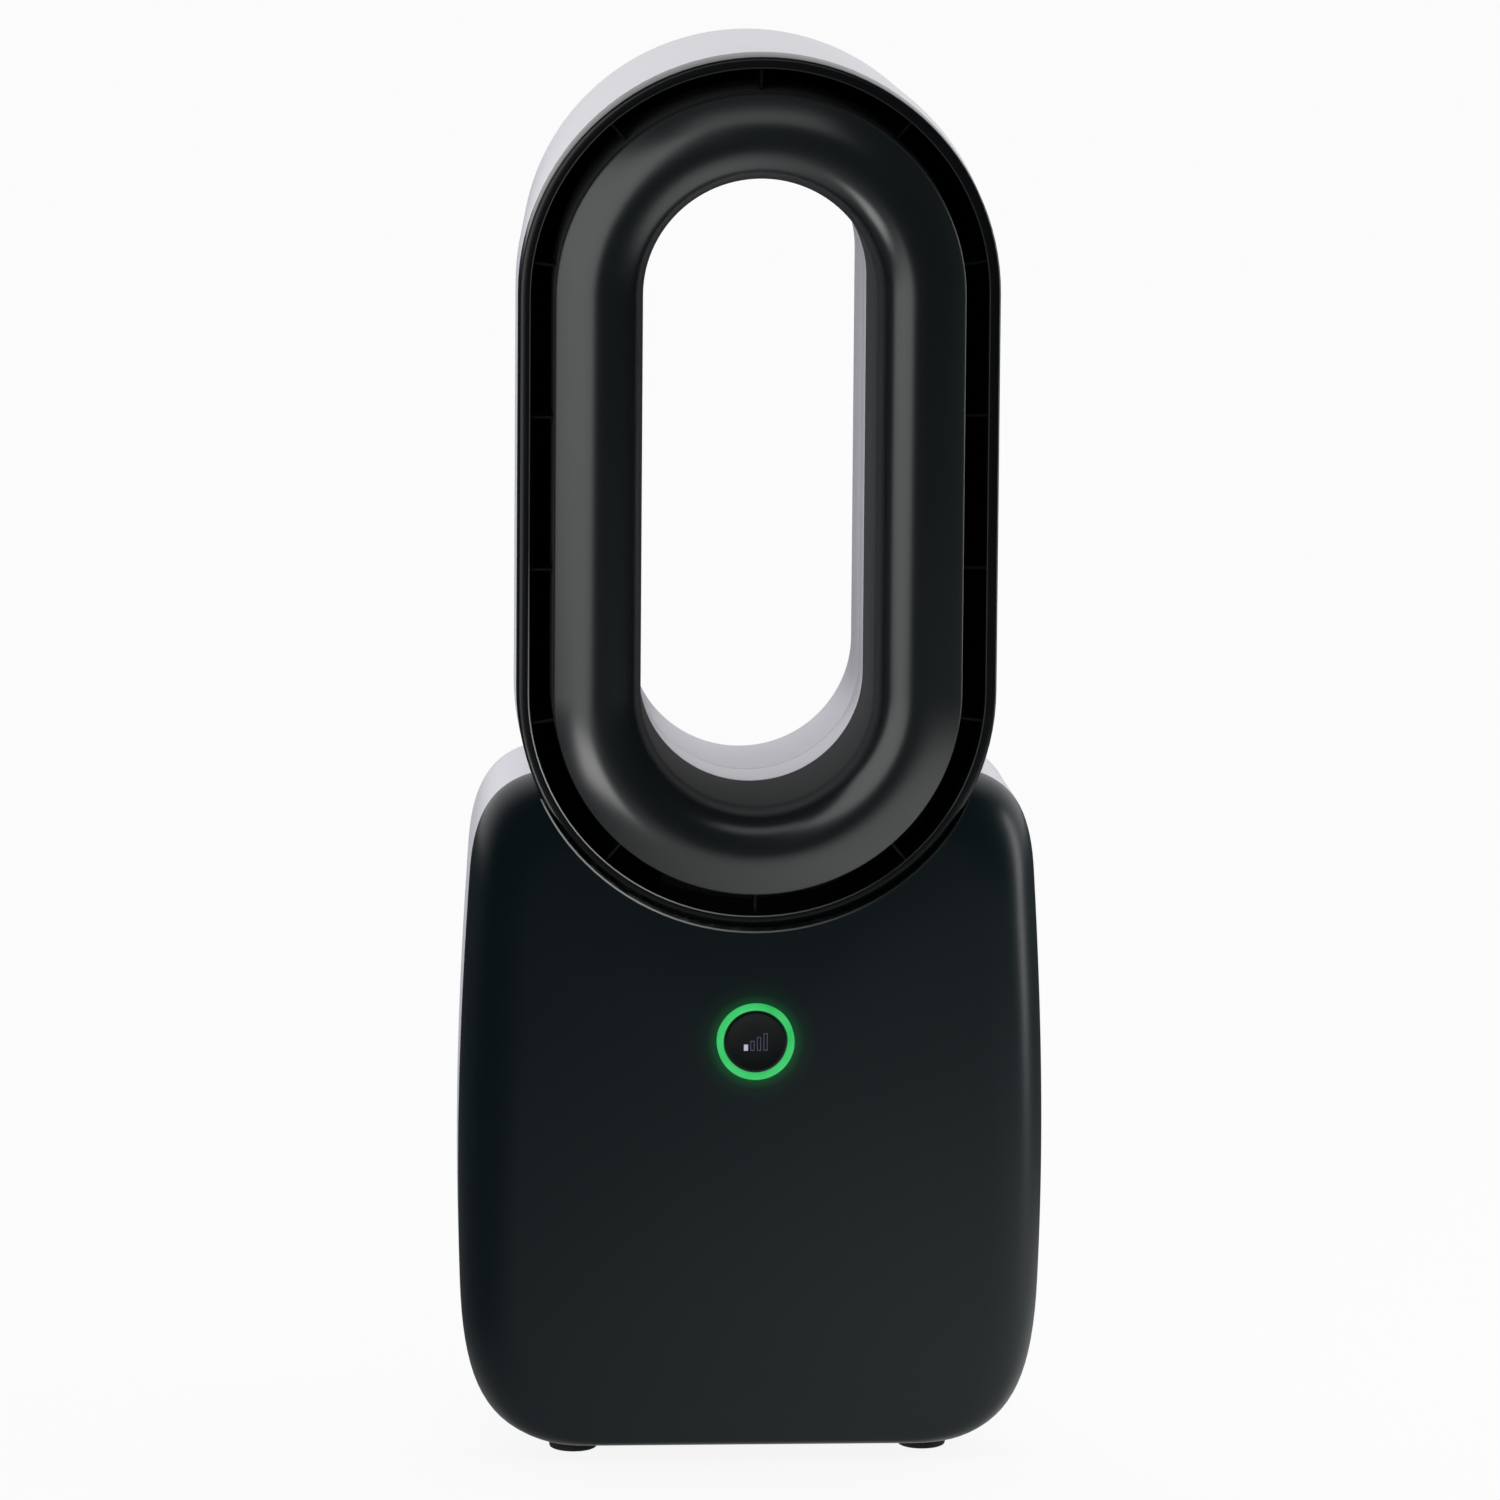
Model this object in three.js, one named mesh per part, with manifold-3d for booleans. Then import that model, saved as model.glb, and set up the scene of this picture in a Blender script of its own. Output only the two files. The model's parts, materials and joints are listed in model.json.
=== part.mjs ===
// A bladeless fan: a stadium-shaped air loop that stands in the saddle of a pillow-shaped base.
// Millimetres, +Z up, the front faces -Y. The origin is on the floor below the swing axis.
import * as THREE from 'three';
import { mergeVertices } from 'three/addons/utils/BufferGeometryUtils.js';
import Module from 'manifold-3d';

const wasm = await Module();
wasm.setup();

// ---------- driving dimensions ----------

const gap = 0.3; // clearance between pieces that sit on or in each other
const overrun = 5; // how far a cut runs past what it cuts
const farOut = 600; // reach of a cut that keeps one side of the whole fan
const wall = 2.6; // moulded wall of the shells

// air loop: every ring of it follows the same upright stadium
const loopAxisLow = 327.3; // height of the lower arc's centre
const loopStraight = 166.4; // length of the straight sides
const loopRadius = 99; // outside of the loop
const loopFrontY = -64; // front edge of the rim
const loopBackY = 66; // back face
const loopBackRound = 22; // rounding of the outer back edge
const shellDraft = 6; // how much narrower the rear shell is where that rounding starts
const holeBackRound = 17; // rounding of the hole's back edge
const holeRadius = 46.5; // half width of the hole through the loop
const rimDepth = 14; // black band round the front of the loop
const rimLip = 4.8; // width of the rim's front face
const rimRound = 4; // rounding of the rim's outer edge
const lipRound = 1.6; // rounding of its inner edge
const ribRoot = 0.5; // how far a rib runs into the rim
const slotWidth = 9.8; // air outlet between the rim and the inner ring
const slotDepth = 34; // how far the walls of the outlet run back
const ringEdgeY = -68.3; // outer edge of the inner ring
const ringCrestY = -75; // foremost line of the inner ring
const ringCrestRun = 21; // from the ring's outer edge in to its crest
const ringDepth = 56.6; // from the crest back to the ring's edge inside the hole
const linerDepth = 22; // pale liner behind the ring, inside the hole
const ribCount = 14; // thin ribs across the outlet
const ribThickness = 1.1;
const ribSetback = 5; // from the rim's front edge to the ribs
const ribDepth = 16;
const arcSteps = 12; // facets on each half circle of the loop

// base: a pillow whose outline is the same at every depth, drawn in towards the front and back
const baseHalfWidth = 121;
const baseBottom = 6.6;
const baseTop = 291;
const baseFrontY = -71;
const baseBackY = 75;
const frontEdgeY = -36; // where the front starts to draw in
const backEdgeY = 18; // where the back starts to draw in
const frontInset = 24; // how far the rounded front edge runs in
const frontCrown = 5; // bulge of the front face
const backInset = 42; // how far the rounded back edge runs in
const bottomFlat = 8; // drawing-in that leaves the underside flat
const bottomShare = 0.45; // share of the further drawing-in that lifts the underside
const splitY = -38; // joint between the front panel and the rear shell
const saddleGap = 0.4; // between the loop and the saddle
const outlineSteps = 6; // points on each curve of the base's outline

// foot and turntable
const padHeight = 3.4;
const padRadius = 10;
const padEdge = 0.8;
const padSpanX = 146;
const padSpanY = 72;
const footHalfX = 86;
const footHalfY = 48;
const footCorner = 38;
const footThickness = 2.6;
const postRadius = 13;
const cableBore = 6;
const thrustInner = 33;
const thrustOuter = 41;
const thrustHeight = 2;
const floorDiscRadius = 43.6;
const flangeHalfX = 64;
const flangeFrontY = -45;
const flangeBackY = 44;
const flangeThickness = 2.4;

// oscillation drive: a toothed sector fixed to the foot, and a pinion carried by the base
const toothModule = 1.25;
const sectorTeeth = 48; // teeth of the full circle that the sector is cut from
const pinionTeeth = 12;
const sectorHalfAngle = 50;
const toothHeightShare = 0.8; // height above and below the pitch line, in modules
const toothWidthShare = 0.36; // tooth width on the pitch line, as a share of the pitch
const gearThickness = 5;
const gearLift = 2.6; // from the floor's top to the gears
const retainerRadius = 16;
const retainerThickness = 2;
const swingMotorRadius = 13;
const swingMotorHeight = 17;
const swingShaftRadius = 2;
const bracketThickness = 2;
const bracketClearance = 1.5; // above the gears
const swingShaftDepth = 8; // how far the shaft runs into the swing motor

// blower
const boardClearance = 0.6; // between the control board and the housing behind it
const housingRadius = 47; // inside of the housing
const housingBottom = 62;
const housingTop = 150;
const housingWall = 2.2;
const throatRadius = 31;
const mouthHeight = 12;
const impellerRadius = 37;
const impellerBottom = 68;
const impellerHeight = 27;
const bladeCount = 7;
const bladeThickness = 1.6;
const hubRadius = 9;
const shaftRadius = 2.5;
const motorRadius = 23;
const motorHeight = 34;
const motorBottom = 102;
const carrierWall = 2;
const carrierHeight = 44;
const vaneCount = 7;
const vaneThickness = 2;
const vaneInset = 4; // from the carrier's ends to its vanes
const postCount = 3;
const postReach = 43; // posts that carry the blower, from its axis
const blowerPostRadius = 4.5;
const postFlare = 3; // how far the foot of each post spreads

// duct from the blower up into the loop
const portHalfX = 33;
const portFrontY = -24;
const portBackY = 36;
const portRise = 14.4; // how far the cut for the port runs above the saddle's lowest point
const ductWall = 2;
const sealWall = 2.2;
const sealHeight = 23;
const sealDrop = 5; // how far the seal reaches below the saddle's wall
const ductSink = 2; // from the seal's top to the duct's end
const ductShoulder = 204; // height at which the duct has its upper shape

// button and light
const buttonHeight = 181.2;
const buttonRadius = 13.1;
const lightWidth = 2.7;
const buttonTravel = 0.8;
const lightDepth = 11;
const ringProud = 0.3; // how far the light ring and the cap stand out
const capProud = 0.1;
const capThickness = 4.1;
const stemRadius = 3;
const boardWidth = 64;
const boardHeight = 34;
const boardThickness = 1.6;
const boardPostRadius = 2.6;
const boardPostInset = 5; // from the board's side edges to its posts
const switchSize = 6;
const switchDepth = 3.6;

// back cover and filter
const coverHalfX = 68;
const coverBottom = 60;
const coverTop = 206;
const coverCorner = 16;
const coverGap = 0.6;
const slotCount = 11;
const grilleSlotHeight = 5.5;
const grilleMargin = 12;
const frameInset = 5;
const frameDepth = 21;
const frameWall = 3;
const pleatCount = 16;
const pleatThickness = 1.2;
const pleatInset = 2; // from the frame's front and back to the folds
const railWidth = 9;
const railThickness = 6;
const railInset = 16; // from the cover's side edges to the rails below the filter

// electrical pieces
const inletX = 46;
const inletHeight = 38;
const inletHalfX = 13;
const inletHalfZ = 8;
const inletDepth = 20;
const socketRimX = 4; // walls beside, above and behind the socket's hollow
const socketRimZ = 3.5;
const socketFloor = 7;
const powerBoardX = -62;
const powerBoardHalfY = 32;
const powerBoardHeight = 58;
const transformerWidth = 15;
const transformerHeight = 20;
const transformerFrontY = -26;
const transformerBackY = -2;
const transformerLift = 12; // from the floor's top to the transformer
const capacitorLift = 18; // from the floor's top to the capacitor's axis
const capacitorRadius = 8;
const capacitorHeight = 18;

// screws
const screwRadius = 1.4;
const screwHeadRadius = 2.9;
const screwHeadHeight = 1.8;
const screwX = 56;
const frontScrewY = -42;
const backScrewY = 34;
const loopScrewX = 50;

// ---------- heights and places worked out from them ----------

const loopAxisHigh = loopAxisLow + loopStraight;
const loopInside = loopRadius - wall;
const rimInside = loopRadius - rimLip;
const ringRadius = rimInside - slotWidth;
const rimBackY = loopFrontY + rimDepth;
const slotBackY = loopFrontY + slotDepth;
const ringBackY = ringCrestY + ringDepth;
const linerBackY = ringBackY + gap + linerDepth;
const footTop = padHeight + footThickness;
const floorTop = baseBottom + wall + gap + flangeThickness;
const gearBottom = floorTop + gearLift;
const gearTop = gearBottom + gearThickness;
const sectorPitch = (toothModule * sectorTeeth) / 2;
const pinionPitch = (toothModule * pinionTeeth) / 2;
const pinionY = sectorPitch + pinionPitch;
const portMiddleY = (portFrontY + portBackY) / 2;
const saddleWallTop = loopAxisLow - loopRadius - saddleGap;
const frameHalfX = coverHalfX - frameInset;
const frameBottom = coverBottom + frameInset;
const frameTop = coverTop - frameInset;
const frameBackY = baseBackY - wall - gap;
const frameFrontY = frameBackY - frameDepth;
const boardY = baseFrontY + wall + lightDepth;
const blowerY = boardY + boardThickness + boardClearance + housingRadius + housingWall;

// ---------- finishes ----------

function finish(color, roughness, metalness = 0) {
  return new THREE.MeshStandardMaterial({ color, roughness, metalness });
}

const satinBlack = finish(0x20292b, 0.42);
const glossBlack = finish(0x15191a, 0.2);
const slotBlack = finish(0x050606, 0.35);
const paleShell = finish(0xdcdce0, 0.38);
const greyPlastic = finish(0x5b5f62, 0.55);
const darkPlastic = finish(0x1b1d1e, 0.6);
const rubber = finish(0x151515, 0.85);
const steel = finish(0x9a9c9e, 0.35, 0.9);
const whiteNylon = finish(0xe8e6dc, 0.5);
const boardGreen = finish(0x1d5a38, 0.5);
const lightGreen = finish(0x3cc46a, 0.4);
const filterPaper = finish(0xf0efe8, 0.9);

// ---------- shape helpers ----------

// A closed mesh as a solid. Its faces are turned outwards if they point in.
function solid(geometry) {
  const bare = geometry.clone();
  bare.deleteAttribute('normal');
  bare.deleteAttribute('uv');
  const merged = mergeVertices(bare, 1e-4);
  const triVerts = new Uint32Array(merged.index.array);
  const vertProperties = new Float32Array(merged.attributes.position.array);
  const made = new wasm.Manifold(new wasm.Mesh({ numProp: 3, vertProperties, triVerts }));
  if (made.volume() > 0) return made;
  for (let i = 0; i < triVerts.length; i += 3) {
    [triVerts[i + 1], triVerts[i + 2]] = [triVerts[i + 2], triVerts[i + 1]];
  }
  return new wasm.Manifold(new wasm.Mesh({ numProp: 3, vertProperties, triVerts }));
}

function geometryOf(manifold) {
  const mesh = manifold.getMesh();
  const geometry = new THREE.BufferGeometry();
  geometry.setAttribute('position', new THREE.BufferAttribute(mesh.vertProperties, 3));
  geometry.setIndex(new THREE.BufferAttribute(mesh.triVerts, 1));
  const flat = geometry.toNonIndexed();
  flat.computeVertexNormals();
  return flat;
}

function union(parts) {
  return parts.reduce((sum, part) => sum.add(part));
}

function box(low, high) {
  const size = [0, 1, 2].map((i) => high[i] - low[i]);
  const middle = [0, 1, 2].map((i) => (high[i] + low[i]) / 2);
  return solid(new THREE.BoxGeometry(...size).translate(...middle));
}

function rodZ(radius, low, high, x = 0, y = 0, sides = 20) {
  const geometry = new THREE.CylinderGeometry(radius, radius, high - low, sides);
  return solid(geometry.rotateX(Math.PI / 2).translate(x, y, (low + high) / 2));
}

function rodY(radius, front, back, x = 0, z = 0, sides = 32) {
  const geometry = new THREE.CylinderGeometry(radius, radius, back - front, sides);
  return solid(geometry.translate(0, (front + back) / 2, 0).translate(x, 0, z));
}

// A flat outline in X and Y, raised from low to high.
function plateZ(shape, low, high, curveSegments = 8) {
  const settings = { depth: high - low, bevelEnabled: false, curveSegments };
  return solid(new THREE.ExtrudeGeometry(shape, settings).translate(0, 0, low));
}

// A flat outline in X and Z, run from front to back.
function plateY(shape, front, back, curveSegments = 8) {
  const settings = { depth: back - front, bevelEnabled: false, curveSegments };
  const geometry = new THREE.ExtrudeGeometry(shape, settings);
  return solid(geometry.rotateX(Math.PI / 2).translate(0, back, 0));
}

function roundedRectangle(x0, x1, y0, y1, radius) {
  const shape = new THREE.Shape();
  shape.moveTo(x0 + radius, y0);
  shape.lineTo(x1 - radius, y0);
  shape.absarc(x1 - radius, y0 + radius, radius, -Math.PI / 2, 0);
  shape.lineTo(x1, y1 - radius);
  shape.absarc(x1 - radius, y1 - radius, radius, 0, Math.PI / 2);
  shape.lineTo(x0 + radius, y1);
  shape.absarc(x0 + radius, y1 - radius, radius, Math.PI / 2, Math.PI);
  shape.lineTo(x0, y0 + radius);
  shape.absarc(x0 + radius, y0 + radius, radius, Math.PI, 1.5 * Math.PI);
  return shape;
}

// A round piece about a vertical axis. The profile is a closed list of [radius, height].
function turned(profile, x = 0, y = 0, sides = 24) {
  const points = [...profile, profile[0]].map(([r, z]) => new THREE.Vector2(r, z));
  const geometry = new THREE.LatheGeometry(points, sides);
  return solid(geometry.rotateX(Math.PI / 2).translate(x, y, 0));
}

function tubeZ(inner, outer, low, high, x = 0, y = 0, sides = 24) {
  return turned([[inner, low], [outer, low], [outer, high], [inner, high]], x, y, sides);
}

// Rings of points, each as long as the next, joined one after the other.
// The last ring joins the first where closed is true, and both ends get a flat cap otherwise.
function skin(rings, closed) {
  const count = rings[0].length;
  const positions = rings.flat(2);
  const index = [];
  const spans = closed ? rings.length : rings.length - 1;
  for (let i = 0; i < spans; i += 1) {
    const here = i * count;
    const next = ((i + 1) % rings.length) * count;
    for (let j = 0; j < count; j += 1) {
      const k = (j + 1) % count;
      index.push(here + j, next + j, next + k);
      index.push(here + j, next + k, here + k);
    }
  }
  if (!closed) {
    for (const [ring, turn] of [[0, false], [rings.length - 1, true]]) {
      const centre = positions.length / 3;
      const total = rings[ring].reduce((a, p) => [a[0] + p[0], a[1] + p[1], a[2] + p[2]], [0, 0, 0]);
      positions.push(...total.map((v) => v / count));
      for (let j = 0; j < count; j += 1) {
        const a = ring * count + j;
        const b = ring * count + ((j + 1) % count);
        index.push(centre, turn ? b : a, turn ? a : b);
      }
    }
  }
  const geometry = new THREE.BufferGeometry();
  geometry.setAttribute('position', new THREE.Float32BufferAttribute(positions, 3));
  geometry.setIndex(index);
  return solid(geometry);
}

// Stations round the loop's stadium: the centre of the arc there, and the direction out.
function loopStations() {
  const stations = [];
  for (let i = 0; i <= arcSteps; i += 1) {
    stations.push({ centre: loopAxisHigh, angle: (Math.PI * i) / arcSteps });
  }
  for (let i = 0; i <= arcSteps; i += 1) {
    stations.push({ centre: loopAxisLow, angle: Math.PI + (Math.PI * i) / arcSteps });
  }
  return stations;
}

// A closed profile of [radius, y] carried round the stadium.
function loopRing(profile) {
  const rings = loopStations().map(({ centre, angle }) =>
    profile.map(([r, y]) => [r * Math.cos(angle), y, centre + r * Math.sin(angle)]));
  return skin(rings, true);
}

// Outside radius of the loop at a depth: straight as far as the outlet's walls reach, then drafted.
function loopRadiusAt(y) {
  const run = loopBackY - loopBackRound - slotBackY;
  return loopRadius - (shellDraft * Math.max(0, y - slotBackY)) / run;
}

// The space that the loop fills in the base, spread by a clearance.
function loopPrism(spread, front, back) {
  return skin([front, slotBackY, back].map((y) => {
    const radius = loopRadiusAt(y) + spread;
    return loopStations().map(({ centre, angle }) =>
      [radius * Math.cos(angle), y, centre + radius * Math.sin(angle)]);
  }), false);
}

// Points on a quarter turn from start to end: [radius, y] pairs on an ellipse.
function quarter(start, end, bulgeFirst, steps) {
  const points = [];
  for (let i = 0; i <= steps; i += 1) {
    const turn = (Math.PI / 2) * (i / steps);
    const a = Math.sin(turn);
    const b = 1 - Math.cos(turn);
    const [u, v] = bulgeFirst ? [b, a] : [a, b];
    points.push([start[0] + (end[0] - start[0]) * u, start[1] + (end[1] - start[1]) * v]);
  }
  return points;
}

// ---------- the air loop ----------

// A long ring is moulded in four lengths that meet where the straights end: two arcs and two sides.
function fourLengths(ring) {
  const arcLow = loopAxisHigh + gap / 2;
  const arcHigh = loopAxisLow - gap / 2;
  const keep = (low, high) => ring.intersect(box(low, high));
  return {
    top: keep([-farOut, -farOut, arcLow], [farOut, farOut, farOut]),
    left: keep([-farOut, -farOut, arcHigh + gap], [0, farOut, arcLow - gap]),
    right: keep([0, -farOut, arcHigh + gap], [farOut, farOut, arcLow - gap]),
    bottom: keep([-farOut, -farOut, -farOut], [farOut, farOut, arcHigh]),
  };
}

function loopRearShell() {
  const outer = loopRadius - shellDraft;
  const hole = holeRadius;
  const outerBack = quarter(
    [outer, loopBackY - loopBackRound], [outer - loopBackRound, loopBackY], true, 4);
  const holeBack = quarter([hole + holeBackRound, loopBackY], [hole, loopBackY - holeBackRound], false, 4);
  const insideHole = quarter(
    [hole + wall, loopBackY - holeBackRound], [hole + holeBackRound, loopBackY - wall], true, 3);
  const insideOuter = quarter(
    [outer - loopBackRound, loopBackY - wall], [outer - wall, loopBackY - loopBackRound], false, 3);
  const profile = [
    [loopRadius, rimBackY + gap],
    [loopRadius, slotBackY],
    ...outerBack,
    ...holeBack,
    [hole, linerBackY + gap],
    [hole + wall, linerBackY + gap],
    ...insideHole,
    ...insideOuter,
    [loopInside, slotBackY],
    [loopInside, rimBackY + gap],
  ];
  const portTop = loopAxisLow - holeRadius - 2 * wall;
  const port = portPrism(gap + sealWall + ductWall, loopAxisLow - loopRadius - wall, portTop);
  let shell = loopRing(profile).subtract(port);
  for (const side of [-1, 1]) shell = shell.subtract(loopScrewHole(side, screwRadius + gap));
  return shell;
}

function loopFrontRim() {
  const outer = loopRadius;
  const profile = [
    [outer, rimBackY],
    [outer, loopFrontY + rimRound],
    [outer - 0.15 * rimRound, loopFrontY + 0.35 * rimRound],
    [outer - 0.55 * rimRound, loopFrontY],
    [rimInside + 0.4 * lipRound, loopFrontY + 0.3 * lipRound],
    [rimInside, loopFrontY + lipRound],
    [rimInside, slotBackY],
    [loopInside - gap, slotBackY],
    [loopInside - gap, rimBackY],
  ];
  return union([loopRing(profile), ...slotRibs()]);
}

// Thin ribs that cross the outlet square to it, spread evenly along its path.
function slotRibs() {
  const middle = (rimInside + ringRadius) / 2;
  const arc = Math.PI * middle;
  const total = 2 * (arc + loopStraight);
  const front = loopFrontY + ribSetback;
  return Array.from({ length: ribCount }, (_, i) => {
    const along = (arc / 2 + (i * total) / ribCount) % total;
    const rib = box(
      [ringRadius + gap, front, -ribThickness / 2],
      [rimInside + ribRoot, front + ribDepth, ribThickness / 2]);
    let angle = along / middle;
    let centre = loopAxisHigh;
    if (along > arc && along <= arc + loopStraight) {
      angle = Math.PI;
      centre = loopAxisHigh - (along - arc);
    } else if (along > arc + loopStraight && along <= 2 * arc + loopStraight) {
      angle = (along - loopStraight) / middle;
      centre = loopAxisLow;
    } else if (along > 2 * arc + loopStraight) {
      angle = 0;
      centre = loopAxisLow + (along - 2 * arc - loopStraight);
    }
    return rib.rotate([0, (-angle * 180) / Math.PI, 0]).translate([0, 0, centre]);
  });
}

// The ring's crest, then the long curve from the crest into the hole.
function ringFace(outer, crest, crestY, hole, backY, steps) {
  const flank = [];
  for (let i = 0; i < steps; i += 1) {
    const t = i / steps;
    const rise = 0.62 * t + 0.38 * Math.sin((Math.PI / 2) * t);
    flank.push([outer + (crest - outer) * t, ringEdgeY + (crestY - ringEdgeY) * rise]);
  }
  const throat = [];
  for (let i = 0; i <= steps + 1; i += 1) {
    const turn = (Math.PI / 2) * (i / (steps + 1));
    const run = Math.sin(turn);
    const fall = (1 - Math.cos(turn)) ** 1.15;
    throat.push([crest + (hole - crest) * run, crestY + (backY - crestY) * 0.8 * fall]);
  }
  return [...flank, ...throat, [hole, backY]];
}

function loopInnerRing() {
  const crest = ringRadius - ringCrestRun;
  const outside = ringFace(ringRadius, crest, ringCrestY, holeRadius, ringBackY, 4);
  const inside = ringFace(ringRadius - wall, crest, ringCrestY + wall, holeRadius + wall, ringBackY, 4);
  inside[0][1] = ringEdgeY + wall;
  const start = [ringRadius, slotBackY];
  const end = [ringRadius - wall, slotBackY];
  return loopRing([start, ...outside, ...inside.reverse(), end]);
}

function loopLiner() {
  return loopRing([
    [holeRadius, ringBackY + gap],
    [holeRadius + wall, ringBackY + gap],
    [holeRadius + wall, linerBackY],
    [holeRadius, linerBackY],
  ]);
}

// ---------- the base ----------

// The base's outline in X and Z at its widest depth, from one Shape.
function baseOutline() {
  const w = baseHalfWidth;
  const low = baseBottom;
  const high = baseTop;
  const half = (side) => [
    [side * 0.55 * w, low, side * 0.81 * w, low, side * 0.96 * w, low + 17, side * 0.988 * w, low + 68],
    [side * 1.012 * w, low + 118, side * w, low + 168, side * 0.963 * w, high - 46],
    [side * 0.95 * w, high - 16, side * 0.876 * w, high, side * 0.6 * w, high],
  ];
  const [corner, flank, shoulder] = half(1);
  const [cornerLeft, flankLeft, shoulderLeft] = half(-1);
  const shape = new THREE.Shape();
  shape.moveTo(cornerLeft[0], cornerLeft[1]);
  shape.lineTo(corner[0], corner[1]);
  shape.bezierCurveTo(...corner.slice(2));
  shape.bezierCurveTo(...flank);
  shape.bezierCurveTo(...shoulder);
  shape.lineTo(shoulderLeft[4], shoulderLeft[5]);
  shape.bezierCurveTo(...shoulderLeft.slice(2, 4), ...shoulderLeft.slice(0, 2), flankLeft[4], flankLeft[5]);
  shape.bezierCurveTo(
    ...flankLeft.slice(2, 4), ...flankLeft.slice(0, 2), cornerLeft[6], cornerLeft[7]);
  shape.bezierCurveTo(...cornerLeft.slice(4, 6), ...cornerLeft.slice(2, 4), cornerLeft[0], cornerLeft[1]);
  return shape;
}

// The outline drawn in by a distance: the sides and the top by all of it, the underside by less.
function baseSection(points, y, drawn, shrink) {
  const inset = drawn + shrink;
  const lift = Math.max(0, drawn - bottomFlat) * bottomShare + shrink;
  const height = baseTop - baseBottom;
  const narrow = (baseHalfWidth - inset) / baseHalfWidth;
  const lower = (height - inset - lift) / height;
  return points.map(({ x, y: z }) => [x * narrow, y, baseBottom + lift + (z - baseBottom) * lower]);
}

// Depth of the front face where the outline is drawn in by a distance.
function frontFaceY(inset) {
  const edge = Math.min(inset / frontInset, 1);
  const round = (1 - (1 - edge) ** 2.3) ** (1 / 2.3);
  const crown = 1 - (1 - Math.min(inset / baseHalfWidth, 1)) ** 2;
  const full = frontEdgeY - baseFrontY;
  return frontEdgeY - (full - frontCrown) * round - frontCrown * crown;
}

function basePillow(shrink) {
  const points = baseOutline().getPoints(outlineSteps).slice(0, -1);
  const sections = [];
  for (const share of [0.96, 0.6, 0.35, 0.2, 0.12, 0.06, 0.02]) {
    const inset = share * baseHalfWidth;
    sections.push(baseSection(points, frontFaceY(inset) + shrink, inset, shrink));
  }
  sections.push(baseSection(points, frontEdgeY, 0, shrink));
  for (let i = 0; i <= 4; i += 1) {
    const turn = (Math.PI / 2) * (i / 4);
    const y = backEdgeY + (baseBackY - shrink - backEdgeY) * Math.sin(turn) ** 0.9;
    sections.push(baseSection(points, y, backInset * (1 - Math.cos(turn)) ** 1.1, shrink));
  }
  return skin(sections, false);
}

function portPrism(spread, low, high) {
  return box(
    [-portHalfX - spread, portFrontY - spread, low], [portHalfX + spread, portBackY + spread, high]);
}

function bothBaseShells() {
  const front = baseFrontY - overrun;
  const back = baseBackY + overrun;
  const hollow = basePillow(wall).subtract(loopPrism(saddleGap + wall, front, back));
  let shells = basePillow(0).subtract(hollow);
  shells = shells.subtract(loopPrism(saddleGap, front, back));
  shells = shells.subtract(rodZ(floorDiscRadius + gap, 0, baseBottom + 2 * wall, 0, 0, 32));
  for (const hole of floorScrewPlaces()) {
    shells = shells.subtract(rodZ(screwRadius + gap, 0, floorTop, hole[0], hole[1], 12));
  }
  return shells;
}

function basePanel(shells) {
  const keep = box([-farOut, -farOut, -farOut], [farOut, splitY - gap / 2, farOut]);
  const holeRadiusHere = buttonRadius + gap + lightWidth + gap;
  const buttonHole = rodY(
    holeRadiusHere, baseFrontY - overrun, baseFrontY + wall + overrun, 0, buttonHeight, 32);
  const posts = [-1, 1].map((side) => {
    const x = side * (boardWidth / 2 - boardPostInset);
    return rodY(boardPostRadius, baseFrontY + wall * 0.7, boardY - gap, x, buttonHeight, 12);
  });
  return union([shells.intersect(keep), ...posts]).subtract(buttonHole);
}

function coverOutline(spread, corner = coverCorner) {
  return roundedRectangle(
    -coverHalfX - spread, coverHalfX + spread, coverBottom - spread, coverTop + spread, corner + spread);
}

function baseRear(shells) {
  const keep = box([-farOut, splitY + gap / 2, -farOut], [farOut, farOut, farOut]);
  const bay = plateY(coverOutline(coverGap), baseBackY - 3 * wall, baseBackY + overrun);
  const inlet = box(
    [inletX - inletHalfX - gap, baseBackY - 3 * wall, inletHeight - inletHalfZ - gap],
    [inletX + inletHalfX + gap, baseBackY + overrun, inletHeight + inletHalfZ + gap]);
  const railTop = coverBottom + frameInset - gap;
  const rails = [-1, 1].map((side) => {
    const middle = side * (coverHalfX - railInset);
    return box(
      [middle - railWidth / 2, frameFrontY - gap - coverGap, railTop - railThickness],
      [middle + railWidth / 2, baseBackY - wall / 2, railTop]);
  });
  let shell = shells.intersect(keep).subtract(bay).subtract(inlet);
  const spread = gap + sealWall + ductWall;
  shell = shell.subtract(portPrism(spread, saddleWallTop - 3 * wall, saddleWallTop + portRise));
  for (const side of [-1, 1]) shell = shell.subtract(loopScrewHole(side, screwRadius + gap));
  return union([shell, ...rails.map((rail) => rail.subtract(bay))]);
}

function floorScrewPlaces() {
  return [[-screwX, frontScrewY], [screwX, frontScrewY], [-screwX, backScrewY], [screwX, backScrewY]];
}

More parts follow.
